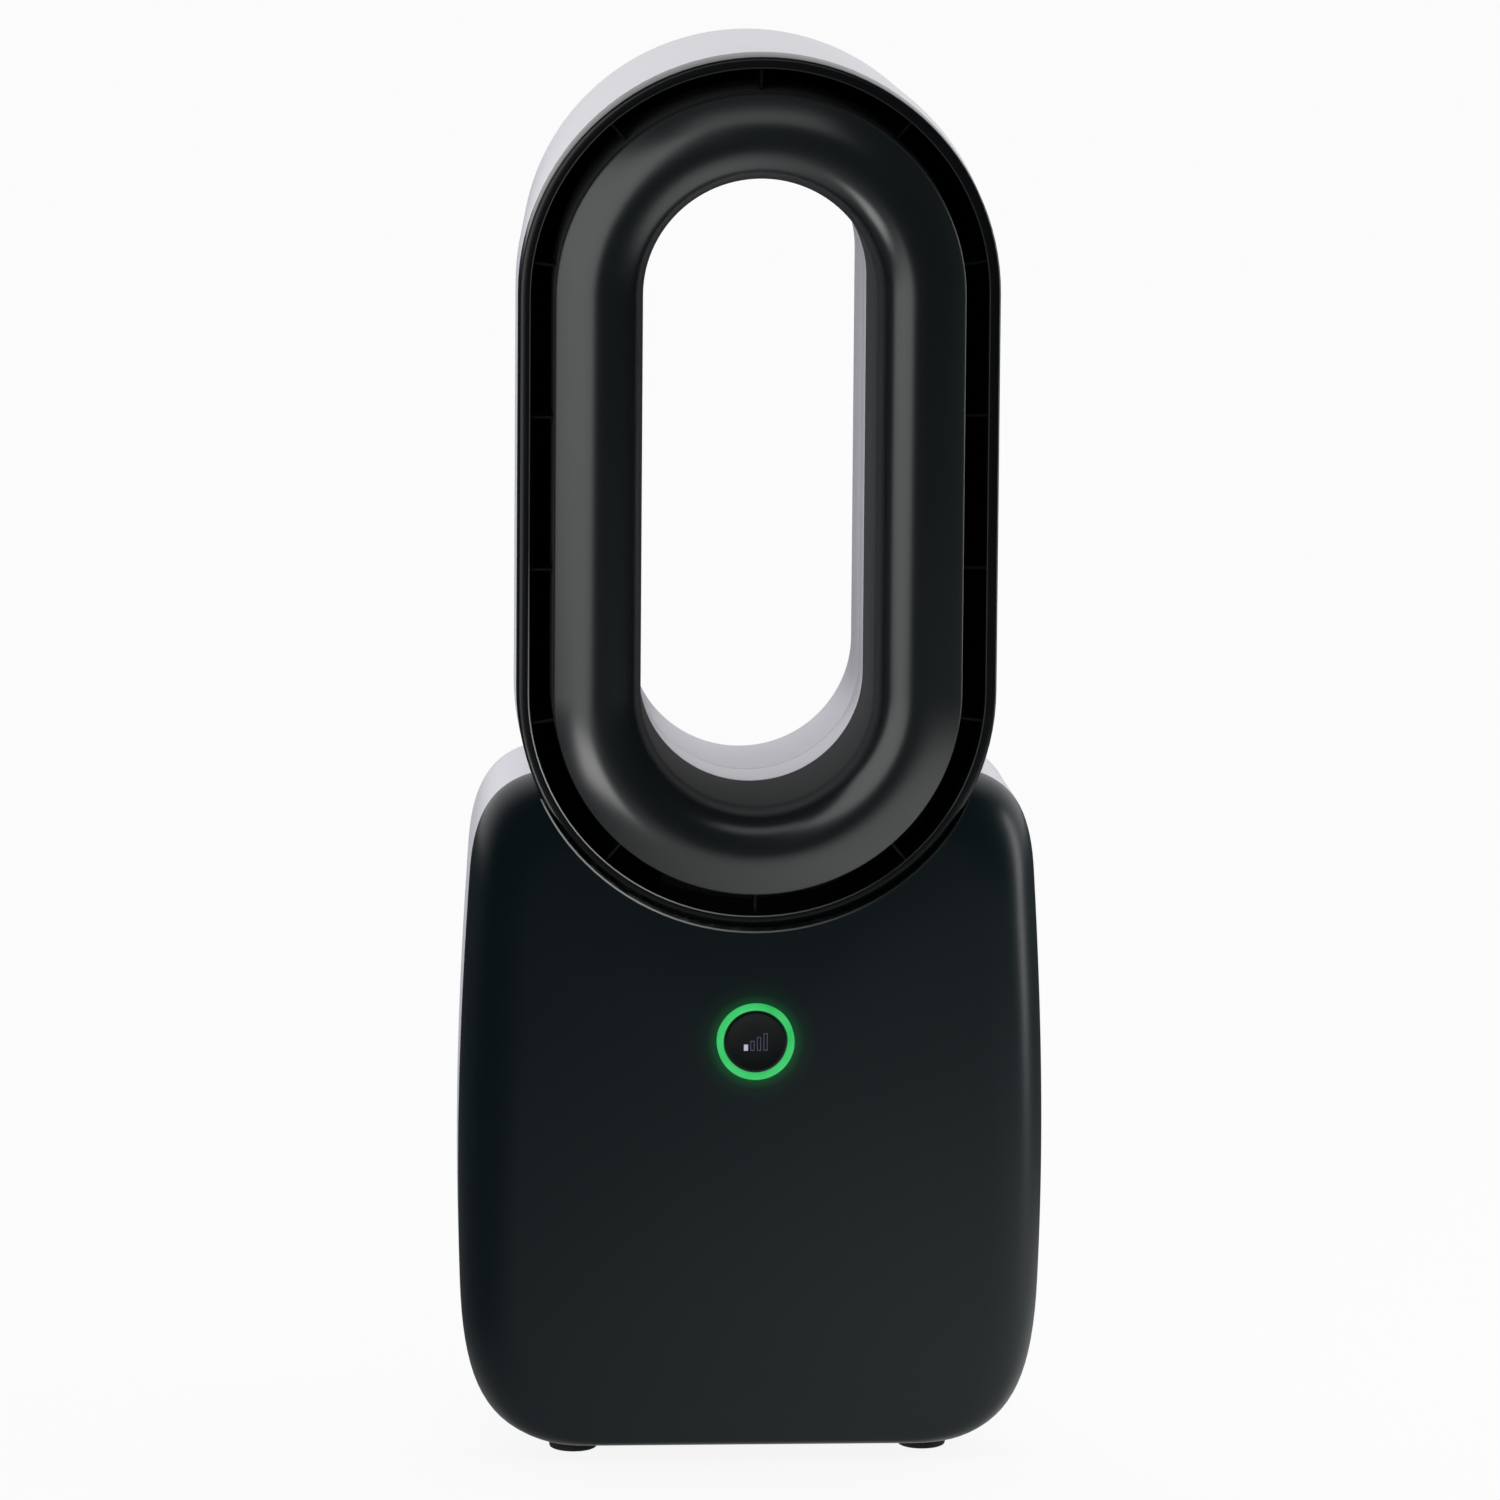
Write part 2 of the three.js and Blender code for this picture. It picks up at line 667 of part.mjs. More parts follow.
function baseFloor() {
  const flange = box(
    [-flangeHalfX, flangeFrontY, floorTop - flangeThickness], [flangeHalfX, flangeBackY, floorTop]);
  const disc = rodZ(floorDiscRadius, baseBottom, floorTop, 0, 0, 32);
  const groove = tubeZ(
    thrustInner - gap, thrustOuter + gap, baseBottom - 2, footTop + gap + thrustHeight + gap, 0, 0, 28);
  const bore = rodZ(postRadius + gap, 0, floorTop + 2, 0, 0, 24);
  const posts = blowerPostPlaces().map(([x, y]) =>
    rodZ(blowerPostRadius, floorTop - flangeThickness, housingBottom - mouthHeight - gap, x, y, 16));
  const feet = blowerPostPlaces().map(([x, y]) =>
    rodZ(blowerPostRadius + postFlare, floorTop - flangeThickness, floorTop, x, y, 20));
  let floor = union([flange, disc, ...feet, ...posts]).subtract(groove).subtract(bore);
  for (const [x, y] of floorScrewPlaces()) {
    floor = floor.subtract(rodZ(screwRadius + gap, 0, floorTop + 2, x, y, 8));
  }
  return floor;
}

function blowerPostPlaces() {
  return Array.from({ length: postCount }, (_, i) => {
    const angle = Math.PI / 6 + (2 * Math.PI * i) / postCount;
    return [postReach * Math.cos(angle), blowerY + postReach * Math.sin(angle)];
  });
}

// Axis of a screw that holds the loop in the saddle, square to both walls.
function loopScrewFrame(side) {
  const radius = loopRadiusAt(portMiddleY);
  const angle = -Math.acos(loopScrewX / radius);
  return { x: side * loopScrewX, z: loopAxisLow + radius * Math.sin(angle), angle };
}

function alongLoopScrew(piece, side) {
  const { x, z, angle } = loopScrewFrame(side);
  const tilt = 90 + (angle * 180) / Math.PI;
  return piece.rotate([0, -side * tilt, 0]).translate([x, portMiddleY, z]);
}

function loopScrewHole(side, radius) {
  return alongLoopScrew(rodZ(radius, -20, 12, 0, 0, 12), side);
}

function loopScrew(side) {
  const seat = -saddleGap - wall - gap;
  const head = rodZ(screwHeadRadius, seat - screwHeadHeight, seat, 0, 0, 12);
  const shank = rodZ(screwRadius, seat - 0.5, wall - 1, 0, 0, 12);
  return alongLoopScrew(head.add(shank), side);
}

function floorScrew([x, y]) {
  const seat = floorTop + gap;
  const head = rodZ(screwHeadRadius, seat, seat + screwHeadHeight, x, y, 8);
  return head.add(rodZ(screwRadius, baseBottom + 0.4, seat + 0.5, x, y, 8));
}

// ---------- foot and turntable ----------

function footPlate() {
  const outline = roundedRectangle(-footHalfX, footHalfX, -footHalfY, footHalfY, footCorner);
  const post = rodZ(postRadius, padHeight + 0.5, gearBottom - gap, 0, 0, 32);
  const neck = rodZ(postRadius - 2, padHeight + 0.5, gearTop + gap + retainerThickness + 1.5, 0, 0, 32);
  const plate = plateZ(outline, padHeight, footTop);
  return union([plate, post, neck]).subtract(rodZ(cableBore, 0, 60, 0, 0, 24));
}

function footPad(sideX, sideY) {
  const x = (sideX * padSpanX) / 2;
  const y = (sideY * padSpanY) / 2;
  const high = padHeight - gap;
  return turned(
    [[0, 0], [padRadius - padEdge, 0], [padRadius, padEdge], [padRadius, high], [0, high]], x, y, 20);
}

function thrustRing() {
  return tubeZ(thrustInner, thrustOuter, footTop + gap, footTop + gap + thrustHeight, 0, 0, 28);
}

// Corner points of one tooth: up one flank and down the other.
function toothCorners(teeth, pitch, middle) {
  const step = (2 * Math.PI) / teeth;
  const high = pitch + toothModule * toothHeightShare;
  const low = pitch - toothModule * (toothHeightShare + 0.3);
  const width = step * toothWidthShare;
  const at = (radius, angle) => new THREE.Vector2(radius * Math.cos(angle), radius * Math.sin(angle));
  return [
    at(low, middle - width * 0.72),
    at(high, middle - width * 0.26),
    at(high, middle + width * 0.26),
    at(low, middle + width * 0.72),
  ];
}

function swingSector() {
  const step = (2 * Math.PI) / sectorTeeth;
  const half = (sectorHalfAngle * Math.PI) / 180;
  const reach = Math.floor(half / step);
  const points = [];
  for (let i = -reach; i <= reach; i += 1) {
    points.push(...toothCorners(sectorTeeth, sectorPitch, Math.PI / 2 + i * step));
  }
  const hub = postRadius + 5;
  const start = Math.PI / 2 + half;
  const sweep = 2 * (Math.PI - half);
  for (let i = 0; i <= 16; i += 1) {
    const angle = start + (sweep * i) / 16;
    points.push(new THREE.Vector2(hub * Math.cos(angle), hub * Math.sin(angle)));
  }
  const plate = plateZ(new THREE.Shape(points), gearBottom, gearTop);
  return plate.subtract(rodZ(postRadius - 2 + gap, gearBottom - 1, gearTop + 1, 0, 0, 32));
}

function pivotRetainer() {
  const low = gearTop + gap;
  return tubeZ(postRadius - 2 + gap, retainerRadius, low, low + retainerThickness, 0, 0, 28);
}

function swingPinion() {
  const step = (2 * Math.PI) / pinionTeeth;
  const points = [];
  for (let i = 0; i < pinionTeeth; i += 1) {
    points.push(...toothCorners(pinionTeeth, pinionPitch, -Math.PI / 2 + (i + 0.5) * step));
  }
  const gear = plateZ(new THREE.Shape(points), gearBottom, gearTop);
  const bore = rodZ(swingShaftRadius + gap, gearBottom - 1, gearTop + 1, 0, 0, 16);
  return gear.subtract(bore).translate([0, pinionY, 0]);
}

const bracketBottom = gearTop + bracketClearance;
const bracketTop = bracketBottom + bracketThickness;
const swingMotorBottom = bracketTop + gap;

function swingShaft() {
  return rodZ(swingShaftRadius, gearBottom - gap, swingMotorBottom + swingShaftDepth, 0, pinionY, 16);
}

function swingMotor() {
  const body = rodZ(swingMotorRadius, swingMotorBottom, swingMotorBottom + swingMotorHeight, 0, pinionY, 28);
  const boreTop = swingMotorBottom + swingShaftDepth + gap;
  return body.subtract(rodZ(swingShaftRadius + gap, swingMotorBottom - 1, boreTop, 0, pinionY, 16));
}

function swingMotorBracket() {
  const halfX = swingMotorRadius + 9;
  const back = flangeBackY - 1;
  const plate = box([-halfX, pinionY - swingMotorRadius + 4, bracketBottom], [halfX, back, bracketTop]);
  const legs = [-1, 1].map((side) => {
    const middle = side * (halfX - 2);
    return box([middle - 2, pinionY - 2, floorTop + gap], [middle + 2, back, bracketTop]);
  });
  return union([plate, ...legs]).subtract(rodZ(swingShaftRadius + 1, 0, 60, 0, pinionY, 16));
}

// ---------- blower ----------

function blowerHousing() {
  return tubeZ(housingRadius, housingRadius + housingWall, housingBottom, housingTop, 0, blowerY, 28);
}

function blowerInlet() {
  const low = housingBottom - mouthHeight;
  const high = housingBottom - gap;
  const outer = housingRadius + housingWall;
  return turned([[throatRadius, high], [throatRadius, high - 5], [throatRadius + 2.5, high - 8.5],
    [throatRadius + 8, low], [outer, low], [outer, high]], 0, blowerY, 28);
}

// A backward-curved blade as a thin bent plate in plan.
function impellerBlade() {
  const centreLine = [];
  for (let i = 0; i <= 4; i += 1) {
    const t = i / 4;
    const radius = hubRadius * 0.8 + (impellerRadius - hubRadius * 0.8) * t;
    const angle = -0.75 * t ** 1.3;
    centreLine.push(new THREE.Vector2(radius * Math.cos(angle), radius * Math.sin(angle)));
  }
  const side = (offset) => centreLine.map((point, i) => {
    const before = centreLine[Math.max(i - 1, 0)];
    const after = centreLine[Math.min(i + 1, centreLine.length - 1)];
    const along = after.clone().sub(before).normalize();
    return new THREE.Vector2(point.x - along.y * offset, point.y + along.x * offset);
  });
  const outline = [...side(bladeThickness / 2), ...side(-bladeThickness / 2).reverse()];
  return plateZ(new THREE.Shape(outline), impellerBottom, impellerBottom + impellerHeight - 1);
}

function impeller() {
  const top = impellerBottom + impellerHeight;
  const plate = rodZ(impellerRadius, top - 2, top, 0, 0, 24);
  const hub = rodZ(hubRadius, impellerBottom, top, 0, 0, 16);
  const shroud = tubeZ(impellerRadius - 4, impellerRadius, impellerBottom, impellerBottom + 2, 0, 0, 24);
  const blades = Array.from({ length: bladeCount }, (_, i) =>
    impellerBlade().rotate([0, 0, (360 * i) / bladeCount]));
  const bore = rodZ(shaftRadius + gap, 0, top + 5, 0, 0, 16);
  return union([plate, hub, shroud, ...blades]).subtract(bore).translate([0, blowerY, 0]);
}

function motorShaft() {
  return rodZ(shaftRadius, impellerBottom - 4, motorBottom + motorHeight * 0.7, 0, blowerY, 16);
}

function impellerNut() {
  const high = impellerBottom - gap;
  const nut = rodZ(shaftRadius * 2, high - 3.4, high, 0, blowerY, 6);
  return nut.subtract(rodZ(shaftRadius + gap, high - 6, high + 2, 0, blowerY, 16));
}

function fanMotor() {
  const body = rodZ(motorRadius, motorBottom, motorBottom + motorHeight, 0, blowerY, 32);
  const boreTop = motorBottom + motorHeight * 0.7 + gap;
  const bore = rodZ(shaftRadius + gap, motorBottom - 1, boreTop, 0, blowerY, 16);
  return body.subtract(bore);
}

const isolatorBottom = motorBottom + motorHeight + gap;
const carrierTop = motorBottom - 2 + carrierHeight;

function motorIsolator() {
  const high = carrierTop - carrierWall - gap;
  return tubeZ(motorRadius * 0.5, motorRadius * 0.85, isolatorBottom, high, 0, blowerY, 28);
}

function motorCarrier() {
  const low = motorBottom - 2;
  const inner = motorRadius + gap;
  const can = rodZ(inner + carrierWall, low, carrierTop, 0, blowerY, 28);
  const vanes = Array.from({ length: vaneCount }, (_, i) => {
    const vane = box(
      [inner + carrierWall / 2, -vaneThickness / 2, low + vaneInset],
      [housingRadius - gap, vaneThickness / 2, carrierTop - vaneInset]);
    return vane.rotate([0, 0, (360 * i) / vaneCount]).translate([0, blowerY, 0]);
  });
  return union([can, ...vanes]).subtract(rodZ(inner, low - 1, carrierTop - carrierWall, 0, blowerY, 28));
}

// ---------- duct ----------

// A section of the duct: round at sharpness 2, nearly a rectangle at 8.
function ductSection(centreY, halfX, halfY, sharpness, z) {
  return Array.from({ length: 24 }, (_, i) => {
    const angle = (2 * Math.PI * i) / 24;
    const c = Math.cos(angle);
    const s = Math.sin(angle);
    const x = Math.sign(c) * Math.abs(c) ** (2 / sharpness) * halfX;
    const y = Math.sign(s) * Math.abs(s) ** (2 / sharpness) * halfY;
    return [x, centreY + y, z];
  });
}

function ductBody(grow, over) {
  const portHalfY = (portBackY - portFrontY) / 2;
  const round = housingRadius + grow;
  const blend = (t) => {
    const ease = t * t * (3 - 2 * t);
    const mix = (a, b) => a + (b - a) * ease;
    const z = housingTop + gap + (ductShoulder - housingTop - gap) * t;
    return ductSection(mix(blowerY, portMiddleY), mix(round, portHalfX + grow), mix(round, portHalfY + grow),
      mix(2, 8), z);
  };
  const ends = [
    ductSection(blowerY, round, round, 2, housingTop + gap - over),
    ductSection(portMiddleY, portHalfX + grow, portHalfY + grow, 8, sealTop - ductSink + over),
  ];
  return skin([ends[0], ...[0.25, 0.6, 1].map(blend), ends[1]], false);
}

const sealBottom = saddleWallTop - wall - sealDrop;
const sealTop = sealBottom + sealHeight;

function airDuct() {
  return ductBody(ductWall, 0).subtract(ductBody(0, 2));
}

function ductSeal() {
  const outer = portPrism(ductWall + sealWall, sealBottom, sealTop);
  return outer.subtract(portPrism(ductWall + gap, sealBottom - 1, sealTop + 1));
}

// ---------- button, light and boards ----------

const switchFront = boardY - gap - switchDepth;

function lightRing() {
  const outer = buttonRadius + gap + lightWidth;
  const front = baseFrontY - ringProud;
  const ring = rodY(outer, front, boardY - gap, 0, buttonHeight, 32);
  return ring.subtract(rodY(buttonRadius + gap, front - 1, boardY + 1, 0, buttonHeight, 32));
}

function buttonCap() {
  const front = baseFrontY - capProud;
  const face = rodY(buttonRadius, front, front + capThickness, 0, buttonHeight, 32);
  const stemEnd = switchFront - buttonTravel - 0.1;
  const stem = rodY(stemRadius, front + capThickness / 2, stemEnd, 0, buttonHeight, 16);
  return face.add(stem);
}

function buttonSwitch() {
  const half = switchSize / 2;
  return box([-half, switchFront, buttonHeight - half], [half, boardY - gap, buttonHeight + half]);
}

function controlBoard() {
  return box([-boardWidth / 2, boardY, buttonHeight - boardHeight / 2],
    [boardWidth / 2, boardY + boardThickness, buttonHeight + boardHeight / 2]);
}

const powerBoardFace = powerBoardX + boardThickness;

function powerBoard() {
  return box([powerBoardX, -powerBoardHalfY, floorTop + gap],
    [powerBoardFace, powerBoardHalfY, floorTop + gap + powerBoardHeight]);
}

function capacitor() {
  const can = rodZ(capacitorRadius, 0, capacitorHeight, 0, 0, 24).rotate([0, 90, 0]);
  return can.translate([powerBoardFace + gap, powerBoardHalfY - capacitorRadius, floorTop + capacitorLift]);
}

function transformer() {
  const low = floorTop + transformerLift;
  return box([powerBoardFace + gap, transformerFrontY, low],
    [powerBoardFace + gap + transformerWidth, transformerBackY, low + transformerHeight]);
}

function mainsInlet() {
  const back = baseBackY;
  const body = box([inletX - inletHalfX, back - inletDepth, inletHeight - inletHalfZ],
    [inletX + inletHalfX, back, inletHeight + inletHalfZ]);
  const halfX = inletHalfX - socketRimX;
  const halfZ = inletHalfZ - socketRimZ;
  const pocket = box([inletX - halfX, back - inletDepth + socketFloor, inletHeight - halfZ],
    [inletX + halfX, back + overrun, inletHeight + halfZ]);
  return body.subtract(pocket);
}

// ---------- back cover and filter ----------

function rearCover() {
  let cover = plateY(coverOutline(0), baseBackY - wall, baseBackY);
  const first = coverBottom + grilleMargin + grilleSlotHeight;
  const last = coverTop - grilleMargin - grilleSlotHeight;
  const halfX = coverHalfX - grilleMargin;
  for (let i = 0; i < slotCount; i += 1) {
    const z = first + ((last - first) * i) / (slotCount - 1);
    const low = [-halfX, baseBackY - 2 * wall, z - grilleSlotHeight / 2];
    cover = cover.subtract(box(low, [halfX, baseBackY + 1, z + grilleSlotHeight / 2]));
  }
  return cover;
}

function filterFrame() {
  const body = box([-frameHalfX, frameFrontY, frameBottom], [frameHalfX, frameBackY, frameTop]);
  const inside = box([-frameHalfX + frameWall, frameFrontY - 1, frameBottom + frameWall],
    [frameHalfX - frameWall, frameBackY + 1, frameTop - frameWall]);
  return body.subtract(inside);
}

function filterPleats() {
  const halfX = frameHalfX - frameWall - gap;
  const front = frameFrontY + pleatInset;
  const back = frameBackY - pleatInset;
  const pitch = (2 * halfX) / pleatCount;
  const slant = (pleatThickness * Math.hypot(pitch / 2, back - front)) / (pitch / 2) / 2;
  const line = [];
  for (let i = 0; i <= 2 * pleatCount; i += 1) {
    line.push([-halfX + (i * pitch) / 2, i % 2 ? back - slant : front]);
  }
  const outline = [
    ...line.map(([x, y]) => new THREE.Vector2(x, y)),
    ...line.reverse().map(([x, y]) => new THREE.Vector2(x, y + slant)),
  ];
  return plateZ(new THREE.Shape(outline), frameBottom + frameWall + gap, frameTop - frameWall - gap);
}

// ---------- the assembly ----------

const fan = new THREE.Group();

function add(name, shape, material) {
  const mesh = new THREE.Mesh(geometryOf(shape), material);
  mesh.name = name;
  fan.add(mesh);
}

add('foot_plate', footPlate(), darkPlastic);
for (const [depth, sideY] of [['front', -1], ['rear', 1]]) {
  for (const [flank, sideX] of [['left', -1], ['right', 1]]) {
    add(`foot_pad_${depth}_${flank}`, footPad(sideX, sideY), rubber);
  }
}
add('thrust_ring', thrustRing(), whiteNylon);
add('swing_sector', swingSector(), whiteNylon);
add('pivot_retainer', pivotRetainer(), steel);
add('swing_pinion', swingPinion(), whiteNylon);
add('swing_shaft', swingShaft(), steel);
add('swing_motor', swingMotor(), steel);
add('swing_motor_bracket', swingMotorBracket(), steel);

const shells = bothBaseShells();
add('base_floor', baseFloor(), darkPlastic);
add('base_front_panel', basePanel(shells), satinBlack);
add('base_rear_shell', baseRear(shells), paleShell);
floorScrewPlaces().forEach((place, i) => add(`floor_screw_${i + 1}`, floorScrew(place), steel));

for (const [place, length] of Object.entries(fourLengths(loopRearShell()))) {
  add(`loop_rear_shell_${place}`, length, paleShell);
}
add('loop_front_rim', loopFrontRim(), slotBlack);
for (const [place, length] of Object.entries(fourLengths(loopInnerRing()))) {
  add(`loop_inner_ring_${place}`, length, glossBlack);
}
add('loop_liner', loopLiner(), paleShell);
add('loop_screw_left', loopScrew(-1), steel);
add('loop_screw_right', loopScrew(1), steel);

add('air_duct', airDuct(), greyPlastic);
add('duct_seal', ductSeal(), rubber);
add('blower_housing', blowerHousing(), greyPlastic);
add('blower_inlet', blowerInlet(), greyPlastic);
add('motor_carrier', motorCarrier(), greyPlastic);
add('motor_isolator', motorIsolator(), rubber);
add('fan_motor', fanMotor(), steel);
add('motor_shaft', motorShaft(), steel);
add('impeller', impeller(), whiteNylon);
add('impeller_nut', impellerNut(), steel);

add('light_ring', lightRing(), lightGreen);
add('button_cap', buttonCap(), glossBlack);
add('button_switch', buttonSwitch(), darkPlastic);
add('control_board', controlBoard(), boardGreen);
add('power_board', powerBoard(), boardGreen);
add('capacitor', capacitor(), darkPlastic);
add('transformer', transformer(), darkPlastic);
add('mains_inlet', mainsInlet(), darkPlastic);

add('rear_cover', rearCover(), paleShell);
add('filter_frame', filterFrame(), greyPlastic);
add('filter_pleats', filterPleats(), filterPaper);

export default fan;
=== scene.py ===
# %% [markdown]
# # A bladeless fan, dressed around its working model
# The working model comes in as a fixed frame: every solid at its real size, in metres, with the joints that
# move it. The frame decides where things are, and this file decides how they look. Nothing here moves a
# solid: where one is too plain it is replaced by a finer piece in the same place.

# %% Load the frame
import json
import math

import bmesh
import bpy
from mathutils import Matrix, Quaternion, Vector
from mathutils.geometry import interpolate_bezier

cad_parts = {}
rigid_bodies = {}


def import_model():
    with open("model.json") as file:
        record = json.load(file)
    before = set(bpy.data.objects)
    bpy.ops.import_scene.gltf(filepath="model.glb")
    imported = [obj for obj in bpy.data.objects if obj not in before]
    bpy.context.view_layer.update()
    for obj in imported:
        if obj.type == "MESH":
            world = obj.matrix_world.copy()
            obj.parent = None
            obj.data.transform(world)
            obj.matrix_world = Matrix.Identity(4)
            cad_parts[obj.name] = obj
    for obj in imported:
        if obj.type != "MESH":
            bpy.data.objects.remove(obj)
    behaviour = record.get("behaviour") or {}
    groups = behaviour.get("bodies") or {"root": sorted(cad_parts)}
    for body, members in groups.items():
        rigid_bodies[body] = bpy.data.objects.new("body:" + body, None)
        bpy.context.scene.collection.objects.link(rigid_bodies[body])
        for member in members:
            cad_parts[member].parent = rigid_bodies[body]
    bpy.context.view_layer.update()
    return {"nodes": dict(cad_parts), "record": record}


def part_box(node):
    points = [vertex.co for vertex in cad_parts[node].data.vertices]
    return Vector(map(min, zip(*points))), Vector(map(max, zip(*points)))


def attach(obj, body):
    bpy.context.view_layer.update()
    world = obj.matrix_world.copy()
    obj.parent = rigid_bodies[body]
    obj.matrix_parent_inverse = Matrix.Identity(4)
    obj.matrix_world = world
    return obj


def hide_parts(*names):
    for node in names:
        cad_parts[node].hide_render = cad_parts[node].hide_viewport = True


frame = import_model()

MM = 0.001

# %% [markdown]
# ## The camera
# The photograph looks at the fan from a little left of its middle and from twelve degrees above. The sides of
# the loop stay parallel, so the camera is far away behind a long lens. How far the back of the hole slides up
# and to the left gives the height and the side. The lens isn't shifted, which keeps the other views centred.

# %% Camera
LOOP_FRONT_Y = -64 * MM
CAMERA_DISTANCE = 6.0
CAMERA_LEFT = 0.389
CAMERA_HEIGHT = 1.5815
AIM = Vector((-0.0029, LOOP_FRONT_Y, 0.3033))
LENS = 357.5
ROLL = math.radians(0.45)


def add_object(name, data):
    """A new object of the scene, which holds this mesh, lamp or camera."""
    made = bpy.data.objects.new(name, data)
    bpy.context.collection.objects.link(made)
    return made


def make_camera():
    data = bpy.data.cameras.new("camera")
    data.lens = LENS
    data.sensor_width = 36
    data.clip_start = 0.05
    data.clip_end = 60
    camera = add_object("camera", data)
    camera.location = (-CAMERA_LEFT, LOOP_FRONT_Y - CAMERA_DISTANCE, CAMERA_HEIGHT)
    level = (AIM - camera.location).to_track_quat("-Z", "Y")
    camera.rotation_euler = (level @ Quaternion((0, 0, 1), ROLL)).to_euler()
    bpy.context.scene.camera = camera
    return camera


camera = make_camera()
print("camera is", round((AIM - camera.location).length, 3), "m from its aim")

# %% [markdown]
# ## Shader maths as expressions
# A material is a sum of small decisions: where the surface is rubbed, how fine its grain is. Written as nodes
# one by one they are hard to read, so a socket is wrapped in a class that knows plus, minus and times. An
# expression then adds its own Math nodes. Colours go through Mix nodes, because Math would turn them grey.

# %% Shader helper


class Value:
    """A number socket of a node tree that can be added to and multiplied."""

    def __init__(self, paint, socket):
        self.paint = paint
        self.socket = socket

    def _math(self, operation, first, second):
        return self.paint.node("ShaderNodeMath", {"operation": operation}, {0: first, 1: second})

    def __add__(self, other):
        return self._math("ADD", self, other)

    def __radd__(self, other):
        return self._math("ADD", other, self)

    def __sub__(self, other):
        return self._math("SUBTRACT", self, other)

    def __rsub__(self, other):
        return self._math("SUBTRACT", other, self)

    def __mul__(self, other):
        return self._math("MULTIPLY", self, other)

    def __rmul__(self, other):
        return self._math("MULTIPLY", other, self)


class Graph:
    """A node tree, with one way to add a node to it."""

    def __init__(self, tree):
        self.tree = tree

    def node(self, kind, settings=None, inputs=None, output=0):
        made = self.tree.nodes.new(kind)
        for name, value in (settings or {}).items():
            if name == "stops":
                ramp = made.color_ramp
                while len(ramp.elements) < len(value):
                    ramp.elements.new(0.5)
                for element, (position, shade) in zip(ramp.elements, value):
                    element.position = position
                    element.color = (shade, shade, shade, 1)
            else:
                setattr(made, name, value)
        for name, value in (inputs or {}).items():
            self.put(made.inputs[name], value)
        return Value(self, made.outputs[output])

    def put(self, socket, value):
        if isinstance(value, Value):
            self.tree.links.new(value.socket, socket)
        elif isinstance(value, bpy.types.NodeSocket):
            self.tree.links.new(value, socket)
        else:
            socket.default_value = value

    def ramp(self, value, stops):
        return self.node("ShaderNodeValToRGB", {"stops": stops}, {0: value})

    def mix(self, factor, first, second):
        made = self.tree.nodes.new("ShaderNodeMix")
        made.data_type = "RGBA"
        self.put(made.inputs[0], factor)
        self.put(made.inputs[6], first)
        self.put(made.inputs[7], second)
        return Value(self, made.outputs[2])

    def ray(self, kind):
        """One where the ray that arrives is of this kind, and nought elsewhere."""
        return self.node("ShaderNodeLightPath", output=f"Is {kind} Ray")


class Paint(Graph):
    """One material and its node tree."""

    def __init__(self, name):
        self.material = bpy.data.materials.new(name)
        self.material.use_nodes = True
        super().__init__(self.material.node_tree)
        self.surface = self.tree.nodes["Principled BSDF"]
        self.place = self.tree.nodes.new("ShaderNodeTexCoord").outputs["Object"]

    def set(self, **inputs):
        for name, value in inputs.items():
            self.put(self.surface.inputs[name.replace("_", " ")], value)

    def fix(self, socket, value):
        """A socket that is the same all over, so it is set directly."""
        self.surface.inputs[socket].default_value = value

    def noise(self, scale, detail=2.0, stretch=(1, 1, 1)):
        placed = self.node("ShaderNodeMapping", {}, {"Vector": self.place, "Scale": stretch})
        return self.node("ShaderNodeTexNoise", {}, {"Vector": placed, "Scale": scale, "Detail": detail})

    def nearness(self, centre, reach, stops):
        """A ramp on the distance from one place, which is 0 there and 1 at the reach."""
        away = self.node(
            "ShaderNodeVectorMath", {"operation": "DISTANCE"}, {0: self.place, 1: centre}, output="Value")
        return self.ramp(away * (1 / reach), stops)

    def bump(self, height, distance):
        bumped = self.node("ShaderNodeBump", {}, {"Height": height, "Distance": distance, "Strength": 1.0})
        self.put(self.surface.inputs["Normal"], bumped)


def linear(red, green, blue):
    """An 8-bit screen colour as the linear colour that a shader wants."""
    shades = [c / 255 for c in (red, green, blue)]
    return tuple(s / 12.92 if s <= 0.04045 else ((s + 0.055) / 1.055) ** 2.4 for s in shades) + (1,)


print("a mid grey is", [round(v, 3) for v in linear(128, 128, 128)])

# %% [markdown]
# ## The floor and the room
# The photograph is a cut-out on white. The floor is pale and keeps the fan's shadow. One colour for the whole
# room would grey the black plastic, so Light Path gives each kind of ray its own: the camera sees white, matt
# surfaces are lit evenly, and gloss sees the white backdrop behind the fan, the white floor close to it and a
# dim studio further out. That dim studio is what keeps black plastic black.

# %% Floor and world
FLOOR_HALF = 6.0
FLOOR_SHADE = (0.86, 0.86, 0.87, 1)
WHITE = (1, 1, 1, 1)
FLOOR_WHITE_SHARE = 0.9
EVEN_LIGHT = (0.80, 0.80, 0.81, 1)
DIM_STUDIO = (0.02, 0.025, 0.03, 1)
GLOW_CENTRE = (0.32, -0.30, 0)
GLOW_REACH = 2.0
GLOW_STOPS = [(0.10, 0.85), (0.22, 0.45), (0.33, 0.08), (0.70, 0.0)]
BACKDROP_STOPS = [(0.05, 0), (0.6, 1)]


def add_mesh_object(name, mesh):
    """A bmesh written into an object of its own, and freed."""
    data = bpy.data.meshes.new(name)
    mesh.to_mesh(data)
    mesh.free()
    return add_object(name, data)


